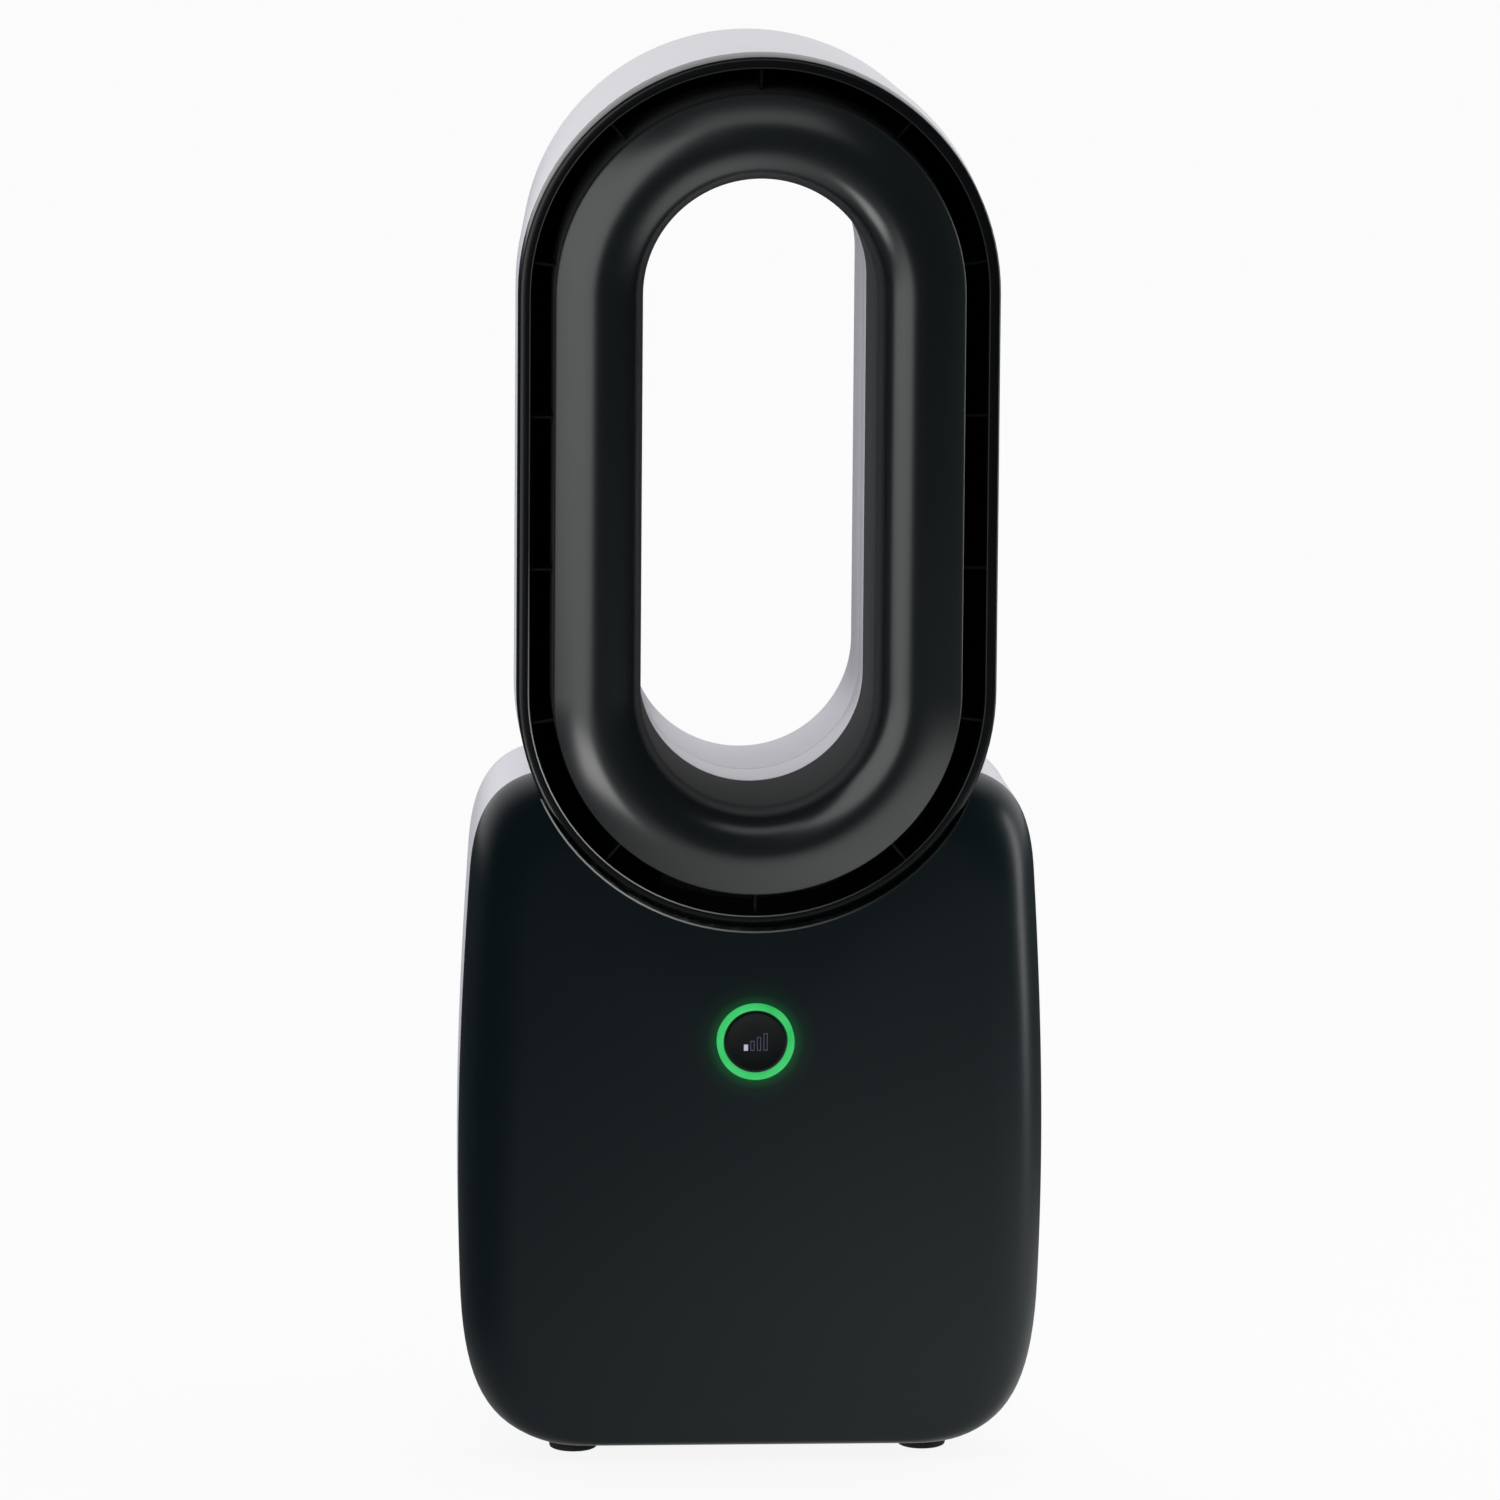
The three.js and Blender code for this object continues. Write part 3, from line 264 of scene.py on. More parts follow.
def make_floor():
    mesh = bmesh.new()
    bmesh.ops.create_grid(mesh, x_segments=8, y_segments=8, size=FLOOR_HALF)
    floor = add_mesh_object("floor", mesh)
    paint = Paint("floor")
    paint.set(Base_Color=FLOOR_SHADE, Roughness=0.9)
    mirrored = paint.mix(paint.nearness(GLOW_CENTRE, GLOW_REACH, GLOW_STOPS), DIM_STUDIO, WHITE)
    glossy = paint.ray("Glossy")
    white = paint.node("ShaderNodeEmission", {}, {"Color": paint.mix(glossy, WHITE, mirrored)})
    seen = (paint.ray("Camera") + paint.ray("Transmission")) * FLOOR_WHITE_SHARE + glossy
    mixed = paint.node("ShaderNodeMixShader", {}, {0: seen, 1: paint.surface.outputs[0], 2: white})
    paint.put(paint.tree.nodes["Material Output"].inputs[0], mixed)
    floor.data.materials.append(paint.material)


def make_world():
    world = bpy.data.worlds.new("studio")
    world.use_nodes = True
    bpy.context.scene.world = world
    room = Graph(world.node_tree)
    direction = room.node("ShaderNodeTexCoord", output="Generated")
    backwards = room.node("ShaderNodeSeparateXYZ", {}, {0: direction}, output="Y")
    mirrored = room.mix(room.ramp(backwards, BACKDROP_STOPS), DIM_STUDIO, WHITE)
    lit = room.mix(room.ray("Glossy"), EVEN_LIGHT, mirrored)
    seen = room.ray("Camera") + room.ray("Transmission")
    room.put(world.node_tree.nodes["Background"].inputs["Color"], room.mix(seen, lit, WHITE))


make_floor()
make_world()
print("floor and world made; the floor is", 2 * FLOOR_HALF, "m wide")

# %% [markdown]
# ## The lamps
# The highlights on the ring show one tall soft source at the front left, and a weaker one above. Area lamps do
# the same, because a gloss mirrors their shape. One low lamp lights the near side of the hole's roll, and a
# strip at the right draws the fine line down the right edge. Each is described by how bright its face is, so
# that its size can change without its highlight growing darker.

# %% Lamps
LOOP_MIDDLE = Vector((0, -0.07, 0.41))
LOW_LAMP_AIM = Vector((-0.16, -0.22, 0.50))


def make_lamp(name, place, width, height, radiance, target=LOOP_MIDDLE):
    """A soft box that faces its target. Its power follows from how bright its face is to be."""
    data = bpy.data.lights.new(name, "AREA")
    data.shape = "RECTANGLE"
    data.size = width
    data.size_y = height
    data.energy = radiance * math.pi * width * height
    lamp = add_object(name, data)
    lamp.location = place
    lamp.rotation_euler = (target - Vector(place)).to_track_quat("-Z", "Y").to_euler()
    lamp.visible_camera = False
    return lamp


front_softbox = make_lamp("front_softbox", (-0.80, -1.00, 0.60), 1.25, 1.20, 1.25)
top_softbox = make_lamp("top_softbox", (0.05, -1.00, 1.22), 0.80, 0.36, 0.75)
low_softbox = make_lamp("low_softbox", (-0.34, -0.47, 0.04), 0.26, 0.26, 3.4, LOW_LAMP_AIM)
make_lamp("right_strip", (1.10, 0.05, 0.35), 0.25, 0.9, 5.0)

# %% [markdown]
# ## Finishes
# Moulded plastic is never one flat colour: the grain of the tool scatters the gloss, and handling polishes or
# dulls it in broad patches. Each finish below is one function that gives a shell its colour, a fine grain in
# the bump and a slow wander in the roughness.

# %% Plastic finishes
PATCHES = 9
SATIN = 0.33
SATIN_MIRROR = 0.38
POLISHED = {"grain": 1400, "depth": 0.000006, "wander": 0.03}
MATT = 0.95
MATT_OVER = 10 * MM


def mould(paint, darker, lighter, roughness, grain=900, depth=0.00002, wander=0.06, mirror=0.5):
    """Broad patches of two shades and a fine grain. It returns how dull the surface is at each place."""
    slow = paint.noise(PATCHES, detail=3)
    fine = paint.noise(grain)
    paint.set(Base_Color=paint.mix(slow, darker, lighter))
    paint.fix("Specular IOR Level", mirror)
    paint.bump(fine, depth)
    return (slow - 0.5) * wander + (fine - 0.5) * wander + roughness


def plastic(name, colour, roughness, tint=0.06, matt_behind=None, **mould_settings):
    """A moulded plastic. Behind a given depth it can turn matt, as a bore does where no tool polished it."""
    paint = Paint(name)
    lighter = tuple(min(1, c * (1 + tint) + 0.002) for c in colour[:3]) + (1,)
    darker = tuple(c * (1 - tint) for c in colour[:3]) + (1,)
    dullness = mould(paint, darker, lighter, roughness, **mould_settings)
    if matt_behind is not None:
        depth = paint.node("ShaderNodeSeparateXYZ", {}, {0: paint.place}, output="Y")
        behind = paint.ramp((depth - matt_behind) * (1 / MATT_OVER) + 0.5, [(0.2, 0), (0.8, 1)])
        dullness = dullness + behind * (MATT - roughness)
    paint.set(Roughness=dullness)
    return paint.material


SATIN_BLACK = plastic("satin_black_plastic", linear(2, 18, 22), SATIN, mirror=SATIN_MIRROR)
GLOSS_BLACK = plastic("gloss_black_plastic", linear(2, 10, 11), 0.25, mirror=0.4, **POLISHED)
RING_BLACK = plastic(
    "ring_black_plastic", linear(2, 10, 11), 0.25, matt_behind=-66 * MM, mirror=1.0, **POLISHED)
RIM_BLACK = plastic("rim_black_plastic", linear(1, 3, 4), 0.22, **POLISHED)
PALE_SHELL = plastic("pale_shell_plastic", linear(214, 213, 220), 0.38, tint=0.015)
# The airway's dark is painted shade: a dark skin where the pale shell would show in the deep outlet.
AIRWAY_SHADE = plastic("airway_painted_shade", linear(5, 5, 6), 0.7, depth=0.00004)
DARK_PLASTIC = plastic("dark_plastic", linear(24, 26, 27), 0.6, depth=0.00004)
GREY_PLASTIC = plastic("grey_plastic", linear(98, 101, 105), 0.55, depth=0.00004)
RUBBER = plastic("rubber", linear(18, 18, 18), 0.85, grain=500, depth=0.00006)
WHITE_NYLON = plastic("white_nylon", linear(232, 230, 220), 0.5)
FILTER_PAPER = plastic("filter_paper", linear(238, 237, 230), 0.9, grain=350, depth=0.00012)
print("plastics made:", len(bpy.data.materials))

# %% [markdown]
# ## Metal, the board, what is lit, and a painted highlight
# The pins are drawn metal, so their noise is stretched along one way. The circuit board's tracks are a noise
# that is cut into bands. The ring round the button and the bar on it are clear plastic with a lamp behind, so
# they give off light of their own, and the panel shows a faint halo of it. A lamp in the ring would light the
# panel truly, but the baked part keeps no lamps, so the halo is painted. The fine lips carry a painted
# highlight:
# their edge is painted pale round one place at the lower left, and the pale fades along the edge.

# %% Metal, board and lit finishes
TRACK_BANDS = [(0.48, 0), (0.5, 1), (0.54, 1), (0.56, 0)]
EDGE_HIGHLIGHT_STOPS = [(0.25, 1), (0.6, 0.4), (1.0, 0.04)]
HALO_STOPS = [(0.6, 1), (0.78, 0.12), (1.0, 0)]
HALO_STRENGTH = 0.5


def steel(name, colour, roughness):
    paint = Paint(name)
    brushed = paint.noise(60, detail=4, stretch=(1, 1, 24))
    paint.set(Base_Color=colour, Metallic=1.0, Roughness=(brushed - 0.5) * 0.25 + roughness)
    paint.bump(brushed, 0.00001)
    return paint.material


def circuit_board(name):
    paint = Paint(name)
    tracks = paint.ramp(paint.noise(240, detail=0), TRACK_BANDS)
    paint.set(Base_Color=paint.mix(tracks, linear(22, 84, 50), linear(60, 132, 84)), Roughness=0.45)
    paint.bump(tracks, 0.00003)
    return paint.material


def lit_plastic(name, colour, dim, bright, strength):
    """A clear plastic with a lamp behind it, a little brighter in some places than in others."""
    paint = Paint(name)
    glow = paint.mix(paint.noise(120, detail=1), dim, bright)
    paint.set(Base_Color=colour, Roughness=0.35, Emission_Color=glow)
    paint.fix("Emission Strength", strength)
    return paint.material


def painted_edge_highlight(name, brightest, reach):
    """Black plastic whose edge carries a painted highlight, pale round one place and fading away from it."""
    paint = Paint(name)
    uneven = paint.noise(60) * 0.3 + 0.85
    # The pale here is a painted highlight, brightest at one place and fading with the distance.
    pale = paint.nearness(brightest, reach, EDGE_HIGHLIGHT_STOPS) * uneven
    paint.set(Base_Color=paint.mix(pale, linear(3, 6, 6), linear(150, 153, 150)), Roughness=0.35)
    return paint.material


def panel_round_light(name, centre, reach):
    """The front panel's black, with a faint halo of the ring's green light round the button."""
    paint = Paint(name)
    dullness = mould(paint, linear(1, 17, 22), linear(3, 21, 26), SATIN, mirror=SATIN_MIRROR)
    halo = paint.mix(paint.nearness(centre, reach, HALO_STOPS), linear(0, 0, 0), linear(6, 92, 40))
    paint.set(Roughness=dullness, Emission_Color=halo)
    paint.fix("Emission Strength", HALO_STRENGTH)
    return paint.material


STEEL = steel("steel", linear(170, 171, 172), 0.35)
BOARD_GREEN = circuit_board("circuit_board")
LIT_GREEN = lit_plastic("lit_green_ring", linear(20, 90, 45), linear(16, 150, 62), linear(66, 186, 108), 1.25)
LIT_BAR = lit_plastic("lit_bar", linear(120, 124, 140), linear(150, 154, 178), linear(186, 190, 214), 0.8)
DIM_BAR = lit_plastic("dim_bar", linear(60, 62, 76), linear(52, 54, 70), linear(74, 76, 96), 0.6)
# The lips' pale line is a painted highlight, brightest at the lower left of the loop.
LIP_HIGHLIGHT = painted_edge_highlight("lip_painted_highlight", (-0.075, -0.066, 0.262), 0.13)
PANEL_BLACK = panel_round_light("front_panel_black", (0, -0.071, 0.1812), 0.026)
FINISH_OF_SLOT = {
    "satin_black": SATIN_BLACK, "gloss_black": GLOSS_BLACK, "rim_black": RIM_BLACK, "pale_shell": PALE_SHELL,
    "grey_plastic": GREY_PLASTIC, "dark_plastic": DARK_PLASTIC, "rubber": RUBBER, "steel": STEEL,
    "white_nylon": WHITE_NYLON, "board_green": BOARD_GREEN, "light_green": LIT_GREEN,
    "filter_paper": FILTER_PAPER,
}


def dress_solids():
    slots = {part["node"]: part["material_slot"] for part in frame["record"]["subparts"]}
    for node, solid in frame["nodes"].items():
        solid.data.materials.clear()
        solid.data.materials.append(FINISH_OF_SLOT[slots[node]])
    return slots


SLOT_OF_NODE = dress_solids()
print("solids dressed:", len(SLOT_OF_NODE))

# %% [markdown]
# ## Turning a bmesh into a piece
# Every new piece ends the same way: the mesh is written, its corners sharper than an angle stay crisp while
# the rest shades smoothly, it takes its finish and rides on the body that carries the solid it stands for.

# %% Piece helper
SHARP = math.radians(38)
TOUCH = 0.01 * MM


def finish_piece(name, mesh, finish, body, stands_for=(), sharp=SHARP):
    """A piece that rides on a body and stands for the named solids, which it hides."""
    bmesh.ops.remove_doubles(mesh, verts=mesh.verts, dist=0.1 * TOUCH)
    bmesh.ops.recalc_face_normals(mesh, faces=mesh.faces)
    for face in mesh.faces:
        face.smooth = True
    piece = add_mesh_object(name, mesh)
    piece.data.set_sharp_from_angle(angle=sharp)
    piece.data.materials.append(finish)
    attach(piece, body)
    for node in stands_for:
        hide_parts(node)
    return piece


def quarter(start, end, bulge_first, steps):
    """Points on a quarter of an ellipse from start to end."""
    points = []
    for i in range(steps + 1):
        turn = math.pi / 2 * i / steps
        first, second = 1 - math.cos(turn), math.sin(turn)
        if not bulge_first:
            first, second = second, first
        points.append((start[0] + (end[0] - start[0]) * first, start[1] + (end[1] - start[1]) * second))
    return points


def in_metres(outline):
    """An outline that is written in millimetres, in the scene's metres."""
    return [(across * MM, along * MM) for across, along in outline]


print("a quarter turn of radius 1:", [round(v, 3) for v in quarter((1, 0), (0, 1), True, 2)[1]])

# %% [markdown]
# ## The air loop
# On the real fan the loop is four mouldings on one stadium: a rear shell with the hole's back wall, a narrow
# liner, a front rim and a convex inner ring. A stadium is two half turns and two straights, so each moulding
# is one closed outline that is spun half way round, drawn down, spun again and drawn back up.

# %% Loop sizes
AXIS_LOW = 327.3 * MM
STRAIGHT = 166.4 * MM
AXIS_HIGH = AXIS_LOW + STRAIGHT
LOOP_RADIUS = 99 * MM
LOOP_BACK_Y = 66 * MM
LOOP_BACK_ROUND = 22 * MM
SHELL_DRAFT = 6 * MM
HOLE_RADIUS = 46.5 * MM
HOLE_BACK_ROUND = 17 * MM
WALL = 2.6 * MM
GAP = 0.3 * MM
RIM_INSIDE = 94.2 * MM
RIM_BACK_Y = -50 * MM
SLOT_BACK_Y = -30 * MM
RING_RADIUS = 84.4 * MM
RING_CREST = RING_RADIUS - 18.4 * MM
RING_EDGE_Y = -68.3 * MM
RING_CREST_Y = -75 * MM
RING_BACK_Y = -18.4 * MM
LINER_BACK_Y = 3.9 * MM
LOOP_STEPS = 56
EDGE_ROUND = 0.5 * MM
SIDE_SHARE = 0.45
NEARLY_STRAIGHT = math.radians(150)


def carry_round_loop(profile, closed=True):
    """An outline of (distance from the loop's axis, depth), carried round the stadium."""
    mesh = bmesh.new()
    corners = [mesh.verts.new((radius, depth, AXIS_HIGH)) for radius, depth in profile]
    nexts = corners[1:] + corners[:1] if closed else corners[1:]
    live = corners + [mesh.edges.new(pair) for pair in zip(corners, nexts)]
    for centre, fall in ((AXIS_HIGH, -STRAIGHT), (AXIS_LOW, STRAIGHT)):
        turned = bmesh.ops.spin(
            mesh, geom=live, cent=(0, 0, centre), axis=(0, -1, 0), dvec=(0, 0, 0), angle=math.pi,
            steps=LOOP_STEPS)
        edges = [g for g in turned["geom_last"] if isinstance(g, bmesh.types.BMEdge)]
        drawn = bmesh.ops.extrude_edge_only(mesh, edges=edges)["geom"]
        moved = [g for g in drawn if isinstance(g, bmesh.types.BMVert)]
        bmesh.ops.translate(mesh, verts=moved, vec=(0, 0, fall))
        live = [g for g in drawn if not isinstance(g, bmesh.types.BMFace)]
    bmesh.ops.remove_doubles(mesh, verts=mesh.verts, dist=TOUCH)
    return mesh


def soften(points, radius, steps=3):
    """The closed outline with each sharp corner rounded, as far as its two sides allow."""
    rounded = []
    for i, here in enumerate(points):
        here = Vector(here)
        before, after = Vector(points[i - 1]), Vector(points[(i + 1) % len(points)])
        into, out = before - here, after - here
        if into.angle(out) > NEARLY_STRAIGHT:
            rounded.append(tuple(here))
            continue
        reach = min(radius, into.length * SIDE_SHARE, out.length * SIDE_SHARE)
        start, end = here + into.normalized() * reach, here + out.normalized() * reach
        for k in range(steps + 1):
            t = k / steps
            rounded.append(tuple(start * (1 - t) ** 2 + here * 2 * t * (1 - t) + end * t * t))
    return rounded


print("the loop is", round((AXIS_HIGH + LOOP_RADIUS) / MM, 1), "mm high at its top")

# %% Loop rear shell and liner
BACK_STEPS = 10
INSIDE_STEPS = 6


def lengths_of(ring):
    """The four solids that a long ring is made of."""
    return [f"{ring}_{place}" for place in ("top", "left", "right", "bottom")]


def rear_shell_outline():
    outer, hole, back = LOOP_RADIUS - SHELL_DRAFT, HOLE_RADIUS, LOOP_BACK_Y
    inner = outer - LOOP_BACK_ROUND
    return [
        (LOOP_RADIUS, RIM_BACK_Y + GAP),
        (LOOP_RADIUS, SLOT_BACK_Y),
        *quarter((outer, back - LOOP_BACK_ROUND), (inner, back), True, BACK_STEPS),
        *quarter((hole + HOLE_BACK_ROUND, back), (hole, back - HOLE_BACK_ROUND), False, BACK_STEPS),
        (hole, LINER_BACK_Y + GAP),
        (hole + WALL, LINER_BACK_Y + GAP),
        *quarter((hole + WALL, back - HOLE_BACK_ROUND), (hole + HOLE_BACK_ROUND, back - WALL), True,
                 INSIDE_STEPS),
        *quarter((inner, back - WALL), (outer - WALL, back - LOOP_BACK_ROUND), False, INSIDE_STEPS),
        (LOOP_RADIUS - WALL, SLOT_BACK_Y),
        (LOOP_RADIUS - WALL, RIM_BACK_Y + GAP),
    ]


def make_rear_shell():
    mesh = carry_round_loop(soften(rear_shell_outline(), EDGE_ROUND))
    return finish_piece("loop_rear_shell_fine", mesh, PALE_SHELL, "fan_body", lengths_of("loop_rear_shell"))


def make_liner():
    inside, outside, front = HOLE_RADIUS, HOLE_RADIUS + WALL, RING_BACK_Y + GAP
    outline = [(inside, front), (outside, front), (outside, LINER_BACK_Y), (inside, LINER_BACK_Y)]
    mesh = carry_round_loop(soften(outline, EDGE_ROUND))
    return finish_piece("loop_liner_fine", mesh, PALE_SHELL, "fan_body", ["loop_liner"])


rear_shell = make_rear_shell()
liner = make_liner()
print("rear shell:", len(rear_shell.data.polygons), "faces; liner:", len(liner.data.polygons))

# %% [markdown]
# ## The lining of the airway, a painted shade
# The shell is moulded pale all through, so pale plastic would show at the bottom of the narrow air outlet. The
# dark there is painted shade: the inside faces could take a second material, but the shell is one finish in
# the frame, so a thin dark skin lies a hair's breadth inside it. Its outline is the wall's own, drawn in.

# %% Airway lining
LINING = 0.5 * MM
SKIN_GAP = 0.15 * MM


def lining_outline():
    outer, hole, back = LOOP_RADIUS - SHELL_DRAFT, HOLE_RADIUS + WALL, LOOP_BACK_Y - WALL
    inner = outer - LOOP_BACK_ROUND

    def course(inset):
        return [
            (LOOP_RADIUS - WALL - inset, SLOT_BACK_Y + GAP),
            *quarter((outer - WALL - inset, LOOP_BACK_Y - LOOP_BACK_ROUND), (inner, back - inset), True,
                     INSIDE_STEPS),
            *quarter((HOLE_RADIUS + HOLE_BACK_ROUND, back - inset),
                     (hole + inset, LOOP_BACK_Y - HOLE_BACK_ROUND), False, INSIDE_STEPS),
            (hole + inset, RING_BACK_Y + GAP)]

    return course(SKIN_GAP) + list(reversed(course(SKIN_GAP + LINING)))


# A thin dark skin stands in for the shade deep in the air outlet.
lining = finish_piece("loop_airway_shade_lining", carry_round_loop(lining_outline()), AIRWAY_SHADE, "fan_body")
print("lining:", len(lining.data.polygons), "faces")

# %% [markdown]
# ## The air outlet
# A dark rim closes the loop's front, and a convex ring sits inside it. Air leaves through the narrow slot
# between them. The rim's edge is rounded, and its thin inner lip carries a painted highlight, a fine bright
# line.
# Ribs cross the slot square to it, and they are spread along a path half way between the two walls.

# %% Front rim with its ribs
RIB_COUNT = 14
RIB_THICKNESS = 1.1 * MM
RIB_FRONT_Y = -59 * MM
RIB_BACK_Y = -43 * MM
RIB_ROOT = 0.5 * MM
RIM_OUTLINE_MM = [
    (99.0, -50), (99.0, -62.2), (98.8, -62.9), (98.2, -63.4), (97.3, -63.6), (95.6, -63.65), (94.6, -63.6),
    (94.2, -63.2), (94.2, -30), (96.1, -30), (96.1, -50)]
LIP_OUTLINE_MM = [(94.3, -63.5), (94.3, -63.85), (94.5, -64.0), (94.75, -63.85), (94.85, -63.5)]


def place_on_loop(distance, radius):
    """Where a distance along the stadium ends: the arc's centre height, and the angle of the way out."""
    arc = math.pi * radius
    distance %= 2 * (arc + STRAIGHT)
    if distance <= arc:
        return AXIS_HIGH, distance / radius
    if distance <= arc + STRAIGHT:
        return AXIS_HIGH - (distance - arc), math.pi
    if distance <= 2 * arc + STRAIGHT:
        return AXIS_LOW, (distance - STRAIGHT) / radius
    return AXIS_LOW + (distance - 2 * arc - STRAIGHT), 0.0


def add_block(mesh, low, high, turn=Matrix()):
    """A box between two corners, turned as asked, added to a mesh."""
    low, high = Vector(low), Vector(high)
    fit = Matrix.Translation((low + high) / 2) @ Matrix.Diagonal((*(high - low), 1))
    return bmesh.ops.create_cube(mesh, size=1, matrix=turn @ fit)["verts"]


def make_front_rim():
    mesh = carry_round_loop(in_metres(RIM_OUTLINE_MM))
    middle = (RIM_INSIDE + RING_RADIUS) / 2
    path = 2 * (math.pi * middle + STRAIGHT)
    for i in range(RIB_COUNT):
        centre, angle = place_on_loop(math.pi * middle / 2 + i * path / RIB_COUNT, middle)
        turn = Matrix.Translation((0, 0, centre)) @ Matrix.Rotation(-angle, 4, "Y")
        add_block(mesh, (RING_RADIUS + GAP, RIB_FRONT_Y, -RIB_THICKNESS / 2),
                  (RIM_INSIDE + RIB_ROOT, RIB_BACK_Y, RIB_THICKNESS / 2), turn)
    return finish_piece("loop_front_rim_fine", mesh, RIM_BLACK, "fan_body", ["loop_front_rim"])


front_rim = make_front_rim()
# The rim's lip carries the painted highlight.
rim_lip = finish_piece("loop_rim_lip", carry_round_loop(in_metres(LIP_OUTLINE_MM)), LIP_HIGHLIGHT, "fan_body")
print("rim and ribs:", len(front_rim.data.polygons), "faces")

# %% [markdown]
# ## The inner ring
# The ring is what the air clings to. From its edge the flank rises gently to a crest, rolls into the hole and
# narrows a little towards the back. A few points and a Bezier would give the same, but formulas keep the sheen
# smooth, because a gloss shows every uneven step. The inside of the wall follows the same formula.

# %% Inner ring
RING_STEPS = 26
RING_INSIDE_STEPS = 12
RING_EDGE_ROUND = 1.1 * MM
ROLL_DEPTH = 16 * MM
BORE_DRAFT = 1.5 * MM
DOME_SHARE = 0.65


def ring_face(outer, crest_y, hole, steps=RING_STEPS):
    """The flank up to the crest, a round roll into the hole, then a bore that narrows a little."""
    flank = []
    for i in range(steps):
        t = i / steps
        rise = (1 - DOME_SHARE) * t * (2 - t) + DOME_SHARE * math.sin(math.pi / 2 * t)
        flank.append((outer + (RING_CREST - outer) * t, RING_EDGE_Y + (crest_y - RING_EDGE_Y) * rise))
    bore = (hole + BORE_DRAFT, crest_y + ROLL_DEPTH)
    return flank + quarter((RING_CREST, crest_y), bore, False, steps) + [(hole, RING_BACK_Y)]


def make_inner_ring():
    inside = ring_face(RING_RADIUS - WALL, RING_CREST_Y + WALL, HOLE_RADIUS + WALL, RING_INSIDE_STEPS)
    inside[0] = (inside[0][0], RING_EDGE_Y + WALL)
    outline = [(RING_RADIUS, SLOT_BACK_Y), *ring_face(RING_RADIUS, RING_CREST_Y, HOLE_RADIUS),
               *reversed(inside), (RING_RADIUS - WALL, SLOT_BACK_Y)]
    mesh = carry_round_loop(soften(outline, RING_EDGE_ROUND))
    return finish_piece("loop_inner_ring_fine", mesh, RING_BLACK, "fan_body", lengths_of("loop_inner_ring"))


inner_ring = make_inner_ring()
print("inner ring:", len(inner_ring.data.polygons), "faces")

# %% [markdown]
# ## The base
# The base is a pillow: one outline, drawn in towards the front and the back. It could be sculpted or lofted by
# hand. Here one edge loop is extruded from section to section, and each section is the first outline squeezed
# and moved. The underside is squeezed less than the sides, so that the base stands flat.

# %% Base sections
BASE_HALF_WIDTH = 122 * MM
BASE_LOW = 6.6 * MM
BASE_TOP = 291 * MM
BASE_FRONT_Y = -71 * MM
BASE_BACK_Y = 75 * MM
FRONT_EDGE_Y = -36 * MM
BACK_EDGE_Y = 18 * MM
FRONT_INSET = 24 * MM
FRONT_CROWN = 5 * MM
BACK_INSET = 42 * MM
BOTTOM_FLAT = 8 * MM
BOTTOM_SHARE = 0.22
REAR_TAPER = 2.2 * MM
BEND_STEPS = 22
FRONT_SECTIONS = 34
FRONT_MIDDLE = 0.99
FRONT_CROWDING = 2.2
FRONT_FULLNESS = 2.3
BACK_SECTIONS = 18
BACK_DEPTH_POWER = 0.9
BACK_INSET_POWER = 1.1


def base_outline():
    """The base from the front: a flat underside, three bends up each side, and a flat top."""
    wide, low, high = BASE_HALF_WIDTH, BASE_LOW, BASE_TOP
    knots = [
        (0.6 * wide, low), (0.87 * wide, low), (0.975 * wide, low + 14 * MM),
        (0.99 * wide, low + 66 * MM), (1.006 * wide, low + 118 * MM), (wide, low + 168 * MM),
        (0.963 * wide, high - 46 * MM), (0.95 * wide, high - 16 * MM), (0.876 * wide, high),
        (0.6 * wide, high)]
    right = [Vector((share * wide, 0, low)) for share in (0.18, 0.36)]
    for first in (0, 3, 6):
        bend = [Vector((x, 0, z)) for x, z in knots[first:first + 4]]
        right += interpolate_bezier(*bend, BEND_STEPS)[:-1]
    right += [Vector((share * wide, 0, high)) for share in (0.6, 0.45, 0.3, 0.15)]
    left = [Vector((-p.x, 0, p.z)) for p in reversed(right)]
    return right + [Vector((0, 0, high))] + left + [Vector((0, 0, low))]


def base_section(y, drawn, shrink):
    """The matrix that squeezes the outline: the sides and the top by all of it, the underside by less."""
    inset = drawn + shrink
    lift = max(0, drawn - BOTTOM_FLAT) * BOTTOM_SHARE + shrink
    height = BASE_TOP - BASE_LOW
    width_left = (BASE_HALF_WIDTH - inset) / BASE_HALF_WIDTH
    squeeze = Matrix.Diagonal((width_left, 1, (height - inset - lift) / height, 1))
    down = Matrix.Translation((0, 0, -BASE_LOW))
    return Matrix.Translation((0, y, BASE_LOW + lift)) @ squeeze @ down


def front_face_y(drawn):
    """How far forward the front face stands, where the outline is drawn in by this much."""
    edge = min(drawn / FRONT_INSET, 1)
    rounding = (1 - (1 - edge) ** FRONT_FULLNESS) ** (1 / FRONT_FULLNESS)
    crown = 1 - (1 - min(drawn / BASE_HALF_WIDTH, 1)) ** 2
    return FRONT_EDGE_Y - (FRONT_EDGE_Y - BASE_FRONT_Y - FRONT_CROWN) * rounding - FRONT_CROWN * crown


